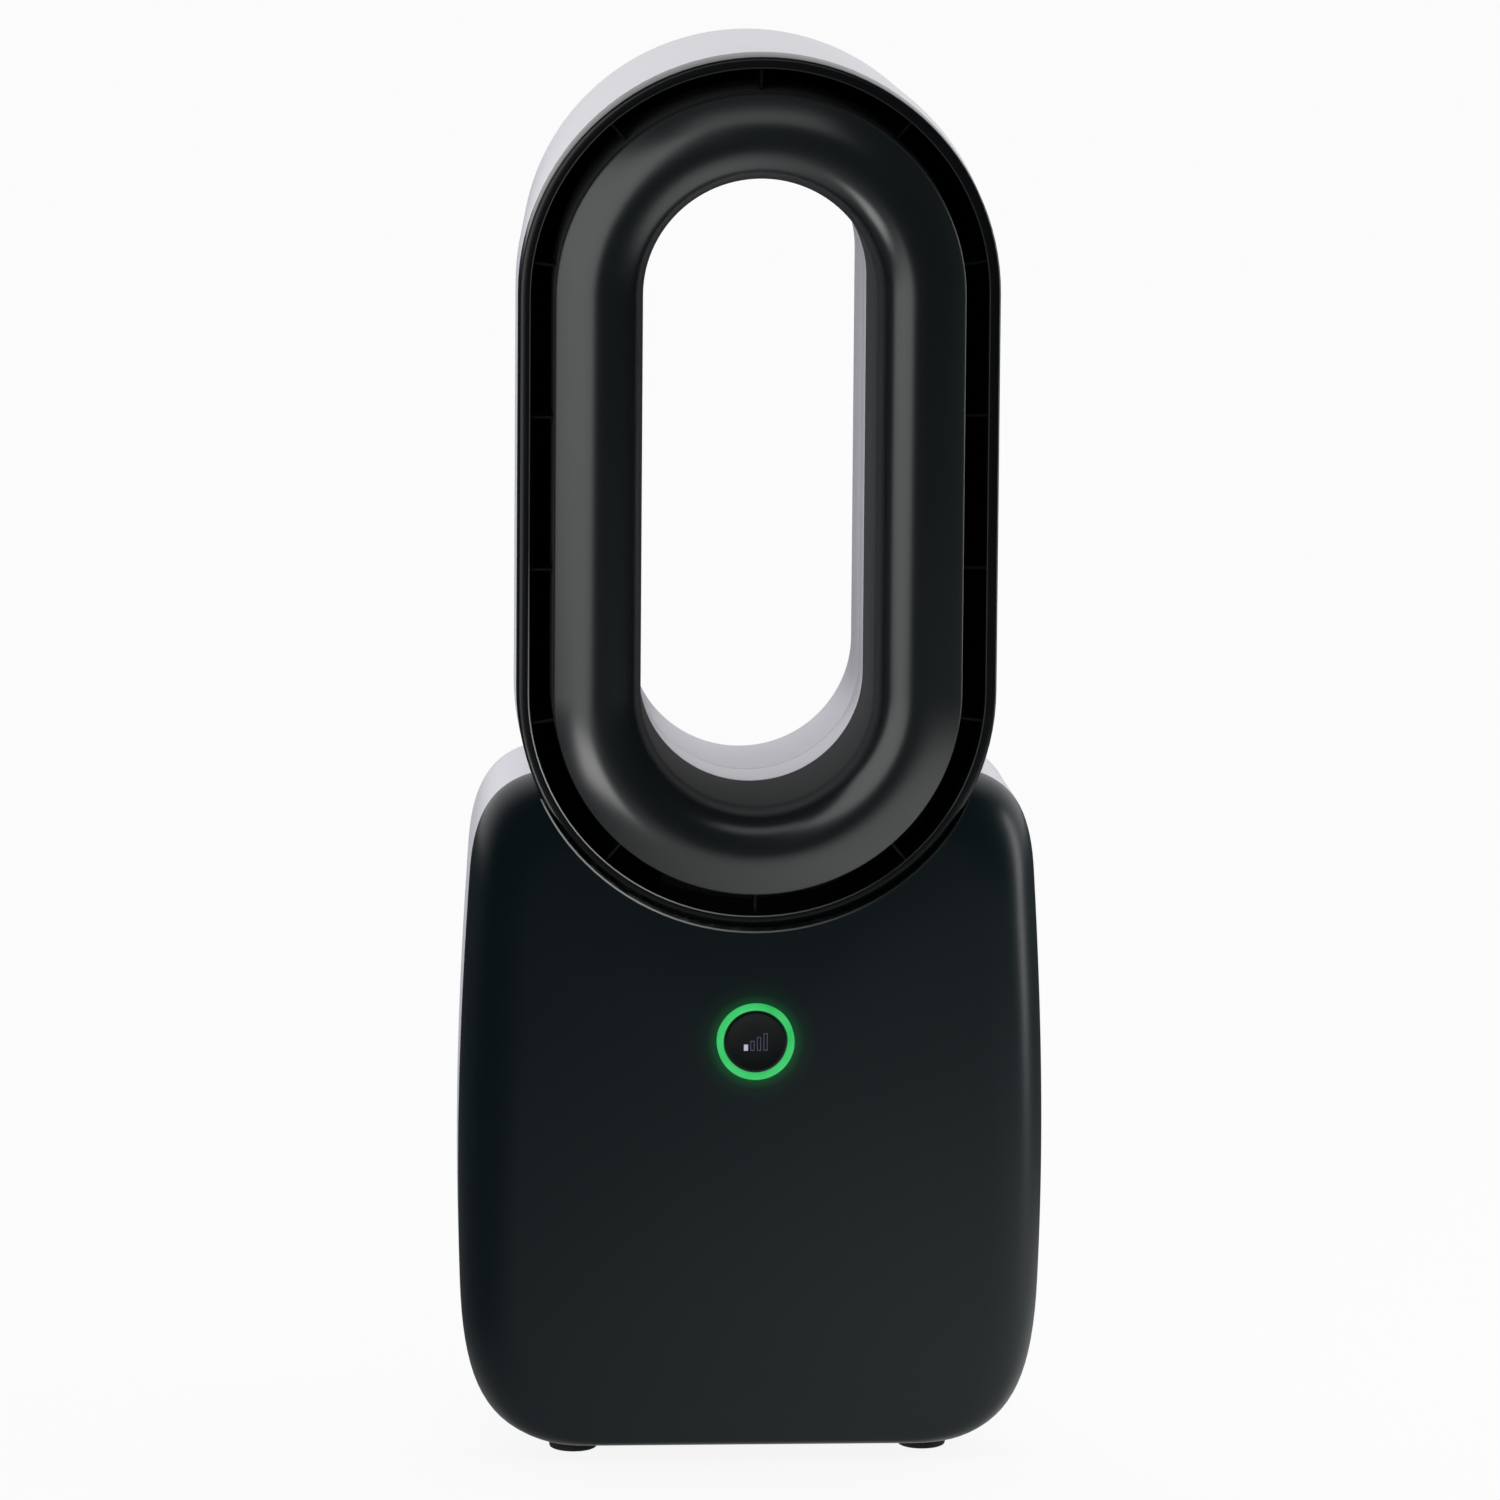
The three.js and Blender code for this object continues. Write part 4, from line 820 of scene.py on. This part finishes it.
def pillow(shrink):
    """The base as one closed solid, its skin drawn in by a wall."""
    sections = []
    for i in range(FRONT_SECTIONS):
        drawn = FRONT_MIDDLE * BASE_HALF_WIDTH * (1 - i / FRONT_SECTIONS) ** FRONT_CROWDING
        sections.append(base_section(front_face_y(drawn) + shrink, drawn, shrink))
    sections.append(base_section(FRONT_EDGE_Y, 0, shrink))
    for i in range(BACK_SECTIONS + 1):
        turn = math.pi / 2 * i / BACK_SECTIONS
        y = BACK_EDGE_Y + (BASE_BACK_Y - shrink - BACK_EDGE_Y) * math.sin(turn) ** BACK_DEPTH_POWER
        drawn = REAR_TAPER + BACK_INSET * (1 - math.cos(turn)) ** BACK_INSET_POWER
        sections.append(base_section(y, drawn, shrink))
    mesh = bmesh.new()
    ring = [mesh.verts.new(sections[0] @ point) for point in base_outline()]
    edges = [mesh.edges.new(pair) for pair in zip(ring, ring[1:] + ring[:1])]
    mesh.faces.new(ring)
    for before, after in zip(sections, sections[1:]):
        drawn = bmesh.ops.extrude_edge_only(mesh, edges=edges)["geom"]
        moved = [g for g in drawn if isinstance(g, bmesh.types.BMVert)]
        edges = [g for g in drawn if isinstance(g, bmesh.types.BMEdge)]
        bmesh.ops.transform(mesh, verts=moved, matrix=after @ before.inverted())
    bmesh.ops.contextual_create(mesh, geom=edges)
    bmesh.ops.recalc_face_normals(mesh, faces=mesh.faces)
    return mesh


print("points round the base's outline:", len(base_outline()))

# %% [markdown]
# ## Cutting the base
# The saddle, the button's hole and the bay in the back are cut by Boolean modifiers, as they would be by hand.
# Each is applied at once, so that the walls stay closed and the cuts stay crisp. A cutter runs past the skin
# on both sides, because two faces in one place are what a Boolean does badly.

# %% Cutters and cuts
SADDLE_GAP = 0.4 * MM


def loop_space(spread, front, back):
    """The solid that the loop fills, spread by a clearance. It narrows towards the back as the shell does."""
    slope = SHELL_DRAFT / (LOOP_BACK_Y - LOOP_BACK_ROUND - SLOT_BACK_Y)
    radius = LOOP_RADIUS + spread
    profile = [(radius, front), (radius, SLOT_BACK_Y), (radius - slope * (back - SLOT_BACK_Y), back)]
    mesh = carry_round_loop(profile, closed=False)
    bmesh.ops.holes_fill(mesh, edges=mesh.edges, sides=0)
    bmesh.ops.recalc_face_normals(mesh, faces=mesh.faces)
    return mesh


def round_edges(mesh, edges, radius, steps=3, clamp=False):
    bmesh.ops.bevel(
        mesh, geom=edges, offset=radius, segments=steps, profile=0.5, affect="EDGES", material=-1,
        clamp_overlap=clamp)


def rod(radius, front, back, x, z, sides=96):
    """A round bar along the depth."""
    mesh = bmesh.new()
    lay = Matrix.Translation((x, (front + back) / 2, z)) @ Matrix.Rotation(math.pi / 2, 4, "X")
    bmesh.ops.create_cone(
        mesh, cap_ends=True, segments=sides, radius1=radius, radius2=radius, depth=back - front, matrix=lay)
    return mesh


def add_rounded_plate(mesh, half_x, low, high, corner, front, back, steps):
    """A plate that faces the front, with rounded corners, added to a mesh."""
    own = set(add_block(mesh, (-half_x, front, low), (half_x, back, high)))
    half_way = 0.5 * (back - front)
    along_depth = [e for e in mesh.edges
                   if own.issuperset(e.verts) and abs(e.verts[0].co.y - e.verts[1].co.y) > half_way]
    round_edges(mesh, along_depth, corner, steps)


def rounded_plate(half_x, low, high, corner, front, back, steps=10):
    mesh = bmesh.new()
    add_rounded_plate(mesh, half_x, low, high, corner, front, back, steps)
    return mesh


def block(low, high):
    mesh = bmesh.new()
    add_block(mesh, low, high)
    return mesh


def cut(mesh, cutters, operation="DIFFERENCE"):
    """The mesh with each cutter taken out, or kept alone, or joined, one after the other."""
    holder = add_mesh_object("holder", mesh)
    spent = [holder]
    for i, cutter in enumerate(cutters):
        tool = add_mesh_object(f"cutter_{i}", cutter)
        step = holder.modifiers.new(f"cut_{i}", "BOOLEAN")
        step.operation = operation
        step.object = tool
        step.solver = "EXACT"
        spent.append(tool)
    shaped = holder.evaluated_get(bpy.context.evaluated_depsgraph_get())
    result = bmesh.new()
    result.from_mesh(shaped.data)
    for used in spent:
        data = used.data
        bpy.data.objects.remove(used)
        bpy.data.meshes.remove(data)
    return result


print("the saddle's cutter has", len(loop_space(SADDLE_GAP, BASE_FRONT_Y, BASE_BACK_Y).faces), "faces")

# %% [markdown]
# ## The two halves of the base
# The base is moulded as a dark front panel and a pale rear shell, which meet in a fine seam. Both are cut from
# the same pillow: a half of it is kept, and a smaller pillow is taken out, which leaves the wall. The loop's
# space is first taken out of that smaller pillow, so that a wall stays under the saddle.

# %% Front panel and rear shell
FAR = 400 * MM
OVERRUN = 5 * MM
SKIN_CUT = 12 * MM
SPLIT_Y = -38 * MM
BUTTON_HEIGHT = 181.2 * MM
BUTTON_RADIUS = 13.1 * MM
LIGHT_WIDTH = 2.7 * MM
COVER_HALF_X = 68 * MM
COVER_LOW = 60 * MM
COVER_TOP = 206 * MM
COVER_CORNER = 16 * MM
COVER_GAP = 0.6 * MM
INLET_X = 46 * MM
INLET_HEIGHT = 38 * MM
INLET_HALF_X = 13 * MM
INLET_HALF_Z = 8 * MM
BAY_DEPTH = 3 * WALL
FLOOR_DISC_RADIUS = 43.6 * MM
FLOOR_CUT = 20 * MM
FLOOR_CUT_MIDDLE = BASE_LOW - 6 * MM
LIP_WIDTH = 0.7 * MM
LIP_HEIGHT = 0.35 * MM
LIP_END = 9 * MM


def base_half(keep_low, keep_high, extra_cuts):
    """One half of the hollow base, with the saddle's wall in it."""
    front, back = BASE_FRONT_Y - OVERRUN, BASE_BACK_Y + OVERRUN
    hollow = cut(pillow(WALL), [loop_space(SADDLE_GAP + WALL, front, back)])
    saddle = loop_space(SADDLE_GAP, front, back)
    half = cut(pillow(0), [block(keep_low, keep_high)], "INTERSECT")
    return cut(half, [hollow, saddle, *extra_cuts])


def make_front_panel():
    bore = BUTTON_RADIUS + GAP + LIGHT_WIDTH + GAP
    hole = rod(bore, BASE_FRONT_Y - OVERRUN, BASE_FRONT_Y + SKIN_CUT, 0, BUTTON_HEIGHT)
    mesh = base_half((-FAR, -FAR, -FAR), (FAR, SPLIT_Y - GAP / 2, FAR), [hole, floor_opening()])
    return finish_piece("base_front_panel_fine", mesh, PANEL_BLACK, "fan_body", ["base_front_panel"])


def make_saddle_lip():
    """A fine raised lip along the edge of the saddle, where the panel's skin is drawn out a little."""
    inside, outside = LOOP_RADIUS + SADDLE_GAP, LOOP_RADIUS + SADDLE_GAP + LIP_WIDTH
    front, back = BASE_FRONT_Y - OVERRUN, BASE_FRONT_Y + SKIN_CUT
    band = carry_round_loop([(inside, front), (outside, front), (outside, back), (inside, back)])
    bmesh.ops.recalc_face_normals(band, faces=band.faces)
    below = block((-FAR, -FAR, -FAR), (FAR, FAR, BASE_TOP - LIP_END))
    mesh = cut(cut(pillow(-LIP_HEIGHT), [below], "INTERSECT"), [band], "INTERSECT")
    # The saddle's lip carries the same painted highlight.
    lip = finish_piece("base_saddle_lip", mesh, LIP_HIGHLIGHT, "fan_body")
    return lip


def floor_opening():
    """The round opening in the underside, where the turntable's disc sits."""
    mesh = bmesh.new()
    radius = FLOOR_DISC_RADIUS + GAP
    bmesh.ops.create_cone(
        mesh, cap_ends=True, segments=96, radius1=radius, radius2=radius, depth=FLOOR_CUT,
        matrix=Matrix.Translation((0, 0, FLOOR_CUT_MIDDLE)))
    return mesh


def make_rear_shell_of_base():
    """The pale half, with a bay for the cover and an opening for the mains inlet."""
    front, back = BASE_BACK_Y - BAY_DEPTH, BASE_BACK_Y + OVERRUN
    bay = rounded_plate(
        COVER_HALF_X + COVER_GAP, COVER_LOW - COVER_GAP, COVER_TOP + COVER_GAP, COVER_CORNER + COVER_GAP,
        front, back)
    inlet = block((INLET_X - INLET_HALF_X - GAP, front, INLET_HEIGHT - INLET_HALF_Z - GAP),
                  (INLET_X + INLET_HALF_X + GAP, back, INLET_HEIGHT + INLET_HALF_Z + GAP))
    mesh = base_half((-FAR, SPLIT_Y + GAP / 2, -FAR), (FAR, FAR, FAR), [bay, inlet, floor_opening()])
    return finish_piece("base_rear_shell_fine", mesh, PALE_SHELL, "fan_body", ["base_rear_shell"])


front_panel = make_front_panel()
saddle_lip = make_saddle_lip()
base_rear = make_rear_shell_of_base()
for piece in (front_panel, saddle_lip, base_rear):
    print(piece.name, "has", len(piece.data.polygons), "faces")

# %% [markdown]
# ## The button, its light and the feet
# These are turned parts: half an outline, spun once round its axis. A Lathe or Screw modifier would do the
# same, but a spin leaves plain faces that need nothing more. The button is dished for the finger tip, the ring
# round it stands a little proud, and each foot pad has two shallow grooves that grip the table.

# %% Turned pieces
BUTTON_CENTRE = Vector((0, 0, BUTTON_HEIGHT))
TURN_STEPS = 96
PAD_STEPS = 64
SHARP_ON_SMALL = math.radians(50)


def turn_round(profile, centre, upright, steps=TURN_STEPS):
    """An outline of (radius, place along the axis), spun round an upright axis or one along the depth."""
    mesh = bmesh.new()
    along = Vector((0, 0, 1)) if upright else Vector((0, 1, 0))
    points = [mesh.verts.new(centre + Vector((radius, 0, 0)) + along * place) for radius, place in profile]
    edges = [mesh.edges.new(pair) for pair in zip(points, points[1:])]
    bmesh.ops.spin(mesh, geom=points + edges, cent=centre, axis=along, dvec=(0, 0, 0), angle=2 * math.pi,
                   steps=steps, use_merge=True)
    return mesh


cap_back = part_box("button_cap")[1][1] / MM
cap_profile_mm = [
    (0, -70.75), (6, -70.78), (10, -70.9), (11.9, -71.08), (12.5, -71.1), (12.95, -70.95), (13.1, -70.5),
    (13.1, -69.3), (4, -69.1), (4, cap_back), (0, cap_back)]
button_cap = finish_piece(
    "button_cap_fine", turn_round(in_metres(cap_profile_mm), BUTTON_CENTRE, False), GLOSS_BLACK,
    "power_button", ["button_cap"], SHARP_ON_SMALL)
ring_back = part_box("light_ring")[1][1] / MM
ring_profile_mm = [
    (13.4, ring_back), (13.4, -71.0), (13.6, -71.22), (14.0, -71.3), (15.5, -71.3), (15.9, -71.22),
    (16.1, -71.0), (16.1, ring_back), (13.4, ring_back)]
light_ring = finish_piece(
    "light_ring_fine", turn_round(in_metres(ring_profile_mm), BUTTON_CENTRE, False), LIT_GREEN, "fan_body",
    ["light_ring"], SHARP_ON_SMALL)
PAD_PROFILE_MM = [
    (0, 0.35), (3.2, 0.35), (3.5, 0), (5.4, 0), (5.7, 0.35), (7.0, 0.35), (7.3, 0), (9.1, 0), (9.7, 0.3),
    (10, 0.9), (10, 2.5), (9.7, 3.1), (9.2, 3.4), (0, 3.4)]
for node in [name for name in frame["nodes"] if name.startswith("foot_pad_")]:
    low, high = (Vector(corner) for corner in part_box(node))
    centre = Vector(((low.x + high.x) / 2, (low.y + high.y) / 2, 0))
    mesh = turn_round(in_metres(PAD_PROFILE_MM), centre, True, PAD_STEPS)
    finish_piece(f"{node}_fine", mesh, RUBBER, "foot", [node])
print("button", button_cap.dimensions, "ring", light_ring.dimensions)

# %% [markdown]
# ## The bars on the button
# A rising row of bars stands in the dish of the button. Each is a block, and the dark ones have a window cut
# through, which leaves a frame. They ride on the button, so they go in with it when it is pressed.

# %% Bars on the button
BAR_WIDTH = 1.7 * MM
BAR_PITCH = 2.7 * MM
BAR_HEIGHTS = [2.6 * MM, 4.2 * MM, 5.8 * MM, 7.4 * MM]
BAR_LINE = 0.32 * MM
BAR_FRONT_Y = -70.98 * MM
BAR_BACK_Y = -70.6 * MM


def make_bar(index, height):
    left = (index - len(BAR_HEIGHTS) / 2) * BAR_PITCH + (BAR_PITCH - BAR_WIDTH) / 2
    low = BUTTON_HEIGHT - BAR_HEIGHTS[-1] / 2
    bar = block((left, BAR_FRONT_Y, low), (left + BAR_WIDTH, BAR_BACK_Y, low + height))
    if index:
        window = block((left + BAR_LINE, BAR_FRONT_Y - MM, low + BAR_LINE),
                       (left + BAR_WIDTH - BAR_LINE, BAR_BACK_Y + MM, low + height - BAR_LINE))
        bar = cut(bar, [window])
    piece = finish_piece(f"button_bar_{index + 1}", bar, DIM_BAR if index else LIT_BAR, "power_button")


for index, height in enumerate(BAR_HEIGHTS):
    make_bar(index, height)
print("bars:", len(BAR_HEIGHTS))

# %% [markdown]
# ## The back
# Air goes in through a slotted cover that pulls off with its filter, so the slots are real openings and the
# pleats show through them. A grille can be an array of bars or one plate with holes. A plate with holes is how
# it is moulded, and one Boolean takes all the slots, whose edges are then eased by a bevel.

# %% Rear cover
SLOT_COUNT = 11
SLOT_HEIGHT = 5.5 * MM
GRILLE_MARGIN = 12 * MM
COVER_EASE = 0.9 * MM
SLOT_EASE = 0.35 * MM
SLOT_CORNER = 0.48 * SLOT_HEIGHT
SLOT_CORNER_STEPS = 5
CUT_THROUGH = 2 * MM
SQUARE_ENOUGH = math.radians(60)


def edges_at(mesh, y):
    """The edges that lie in the plane across this depth."""
    return [e for e in mesh.edges if all(abs(v.co.y - y) < TOUCH for v in e.verts)]


def ease_back_edges(mesh, back, radius, wanted):
    """Rounds the square edges of the back face whose middle passes the test."""
    edges = [e for e in edges_at(mesh, back)
             if len(e.link_faces) == 2 and e.calc_face_angle() > SQUARE_ENOUGH
             and wanted((e.verts[0].co + e.verts[1].co) / 2)]
    round_edges(mesh, edges, radius, clamp=True)


def make_rear_cover():
    front, back = BASE_BACK_Y - WALL, BASE_BACK_Y
    plate = rounded_plate(COVER_HALF_X, COVER_LOW, COVER_TOP, COVER_CORNER, front, back)
    first = COVER_LOW + GRILLE_MARGIN + SLOT_HEIGHT
    last = COVER_TOP - GRILLE_MARGIN - SLOT_HEIGHT
    half_x = COVER_HALF_X - GRILLE_MARGIN
    slots = bmesh.new()
    for i in range(SLOT_COUNT):
        middle = first + (last - first) * i / (SLOT_COUNT - 1)
        add_rounded_plate(
            slots, half_x, middle - SLOT_HEIGHT / 2, middle + SLOT_HEIGHT / 2, SLOT_CORNER,
            front - CUT_THROUGH, back + CUT_THROUGH, SLOT_CORNER_STEPS)
    mesh = cut(plate, [slots])

    def in_grille(at, room):
        return abs(at.x) <= half_x + room and first - SLOT_HEIGHT < at.z < last + SLOT_HEIGHT

    ease_back_edges(mesh, back, SLOT_EASE, lambda at: in_grille(at, 0))
    ease_back_edges(mesh, back, COVER_EASE, lambda at: not in_grille(at, MM))
    return finish_piece("rear_cover_fine", mesh, PALE_SHELL, "filter_cover", ["rear_cover"])


rear_cover = make_rear_cover()
print("rear cover:", len(rear_cover.data.polygons), "faces with", SLOT_COUNT, "slots")

# %% [markdown]
# ## The mains inlet
# The cord plugs into a socket low on the back: a dark block with an oval hollow and two round pins in it. The
# hollow is a plate with corners as round as it is high, and each pin is a rod with a rounded tip.

# %% Mains inlet
INLET_DEPTH = 20 * MM
INLET_EASE = 0.6 * MM
SOCKET_RADIUS = 4.1 * MM
SOCKET_CORNER = 0.98 * SOCKET_RADIUS
SOCKET_REACH = 4.2 * MM
SOCKET_DEPTH = 12 * MM
PIN_RADIUS = 1.2 * MM
PIN_START = 3 * MM
PIN_ROUND = 0.5 * MM
PIN_SIDES = 32


def make_inlet(back):
    body = block((INLET_X - INLET_HALF_X, back - INLET_DEPTH, INLET_HEIGHT - INLET_HALF_Z),
                 (INLET_X + INLET_HALF_X, back, INLET_HEIGHT + INLET_HALF_Z))
    hollow = rounded_plate(
        SOCKET_RADIUS + SOCKET_REACH, INLET_HEIGHT - SOCKET_RADIUS, INLET_HEIGHT + SOCKET_RADIUS,
        SOCKET_CORNER, back - SOCKET_DEPTH, back + MM)
    bmesh.ops.translate(hollow, verts=hollow.verts, vec=(INLET_X, 0, 0))
    mesh = cut(body, [hollow])
    ease_back_edges(mesh, back, INLET_EASE, lambda at: True)
    return finish_piece("mains_inlet_fine", mesh, DARK_PLASTIC, "fan_body", ["mains_inlet"])


def make_inlet_pin(back, side, offset):
    start, end = back - SOCKET_DEPTH - MM, back - PIN_START
    mesh = rod(PIN_RADIUS, start, end, INLET_X + offset, INLET_HEIGHT, PIN_SIDES)
    round_edges(mesh, edges_at(mesh, end), PIN_ROUND)
    piece = finish_piece(f"inlet_pin_{side}", mesh, STEEL, "fan_body")


inlet_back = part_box("mains_inlet")[1][1]
inlet = make_inlet(inlet_back)
for side, offset in (("left", -SOCKET_REACH), ("right", SOCKET_REACH)):
    make_inlet_pin(inlet_back, side, offset)
print("mains inlet:", len(inlet.data.polygons), "faces")

# %% [markdown]
# ## What the front lamps light
# The low lamp and the two soft boxes draw the highlights on the ring. On the real set black cards keep them off
# the base, so that it stays dark. Light linking does what the cards do, and leaves nothing to hide.

# %% Light linking
SHADED_FROM_FRONT = ("base_front_panel", "button_", "light_ring", "base_saddle_lip")


def light_all_but_front_panel(lamp):
    lit = bpy.data.collections.new(f"lit_by_{lamp.name}")
    for piece in bpy.context.scene.objects:
        if piece.type == "MESH" and not piece.name.startswith((*SHADED_FROM_FRONT, "floor")):
            lit.objects.link(piece)
    lamp.light_linking.receiver_collection = lit
    return len(lit.objects)


print("pieces lit:", [light_all_but_front_panel(lamp) for lamp in (front_softbox, top_softbox, low_softbox)])

# %% [markdown]
# ## The view
# The scene is shown through the Standard view transform.

# %% Finish
bpy.context.scene.view_settings.view_transform = "Standard"
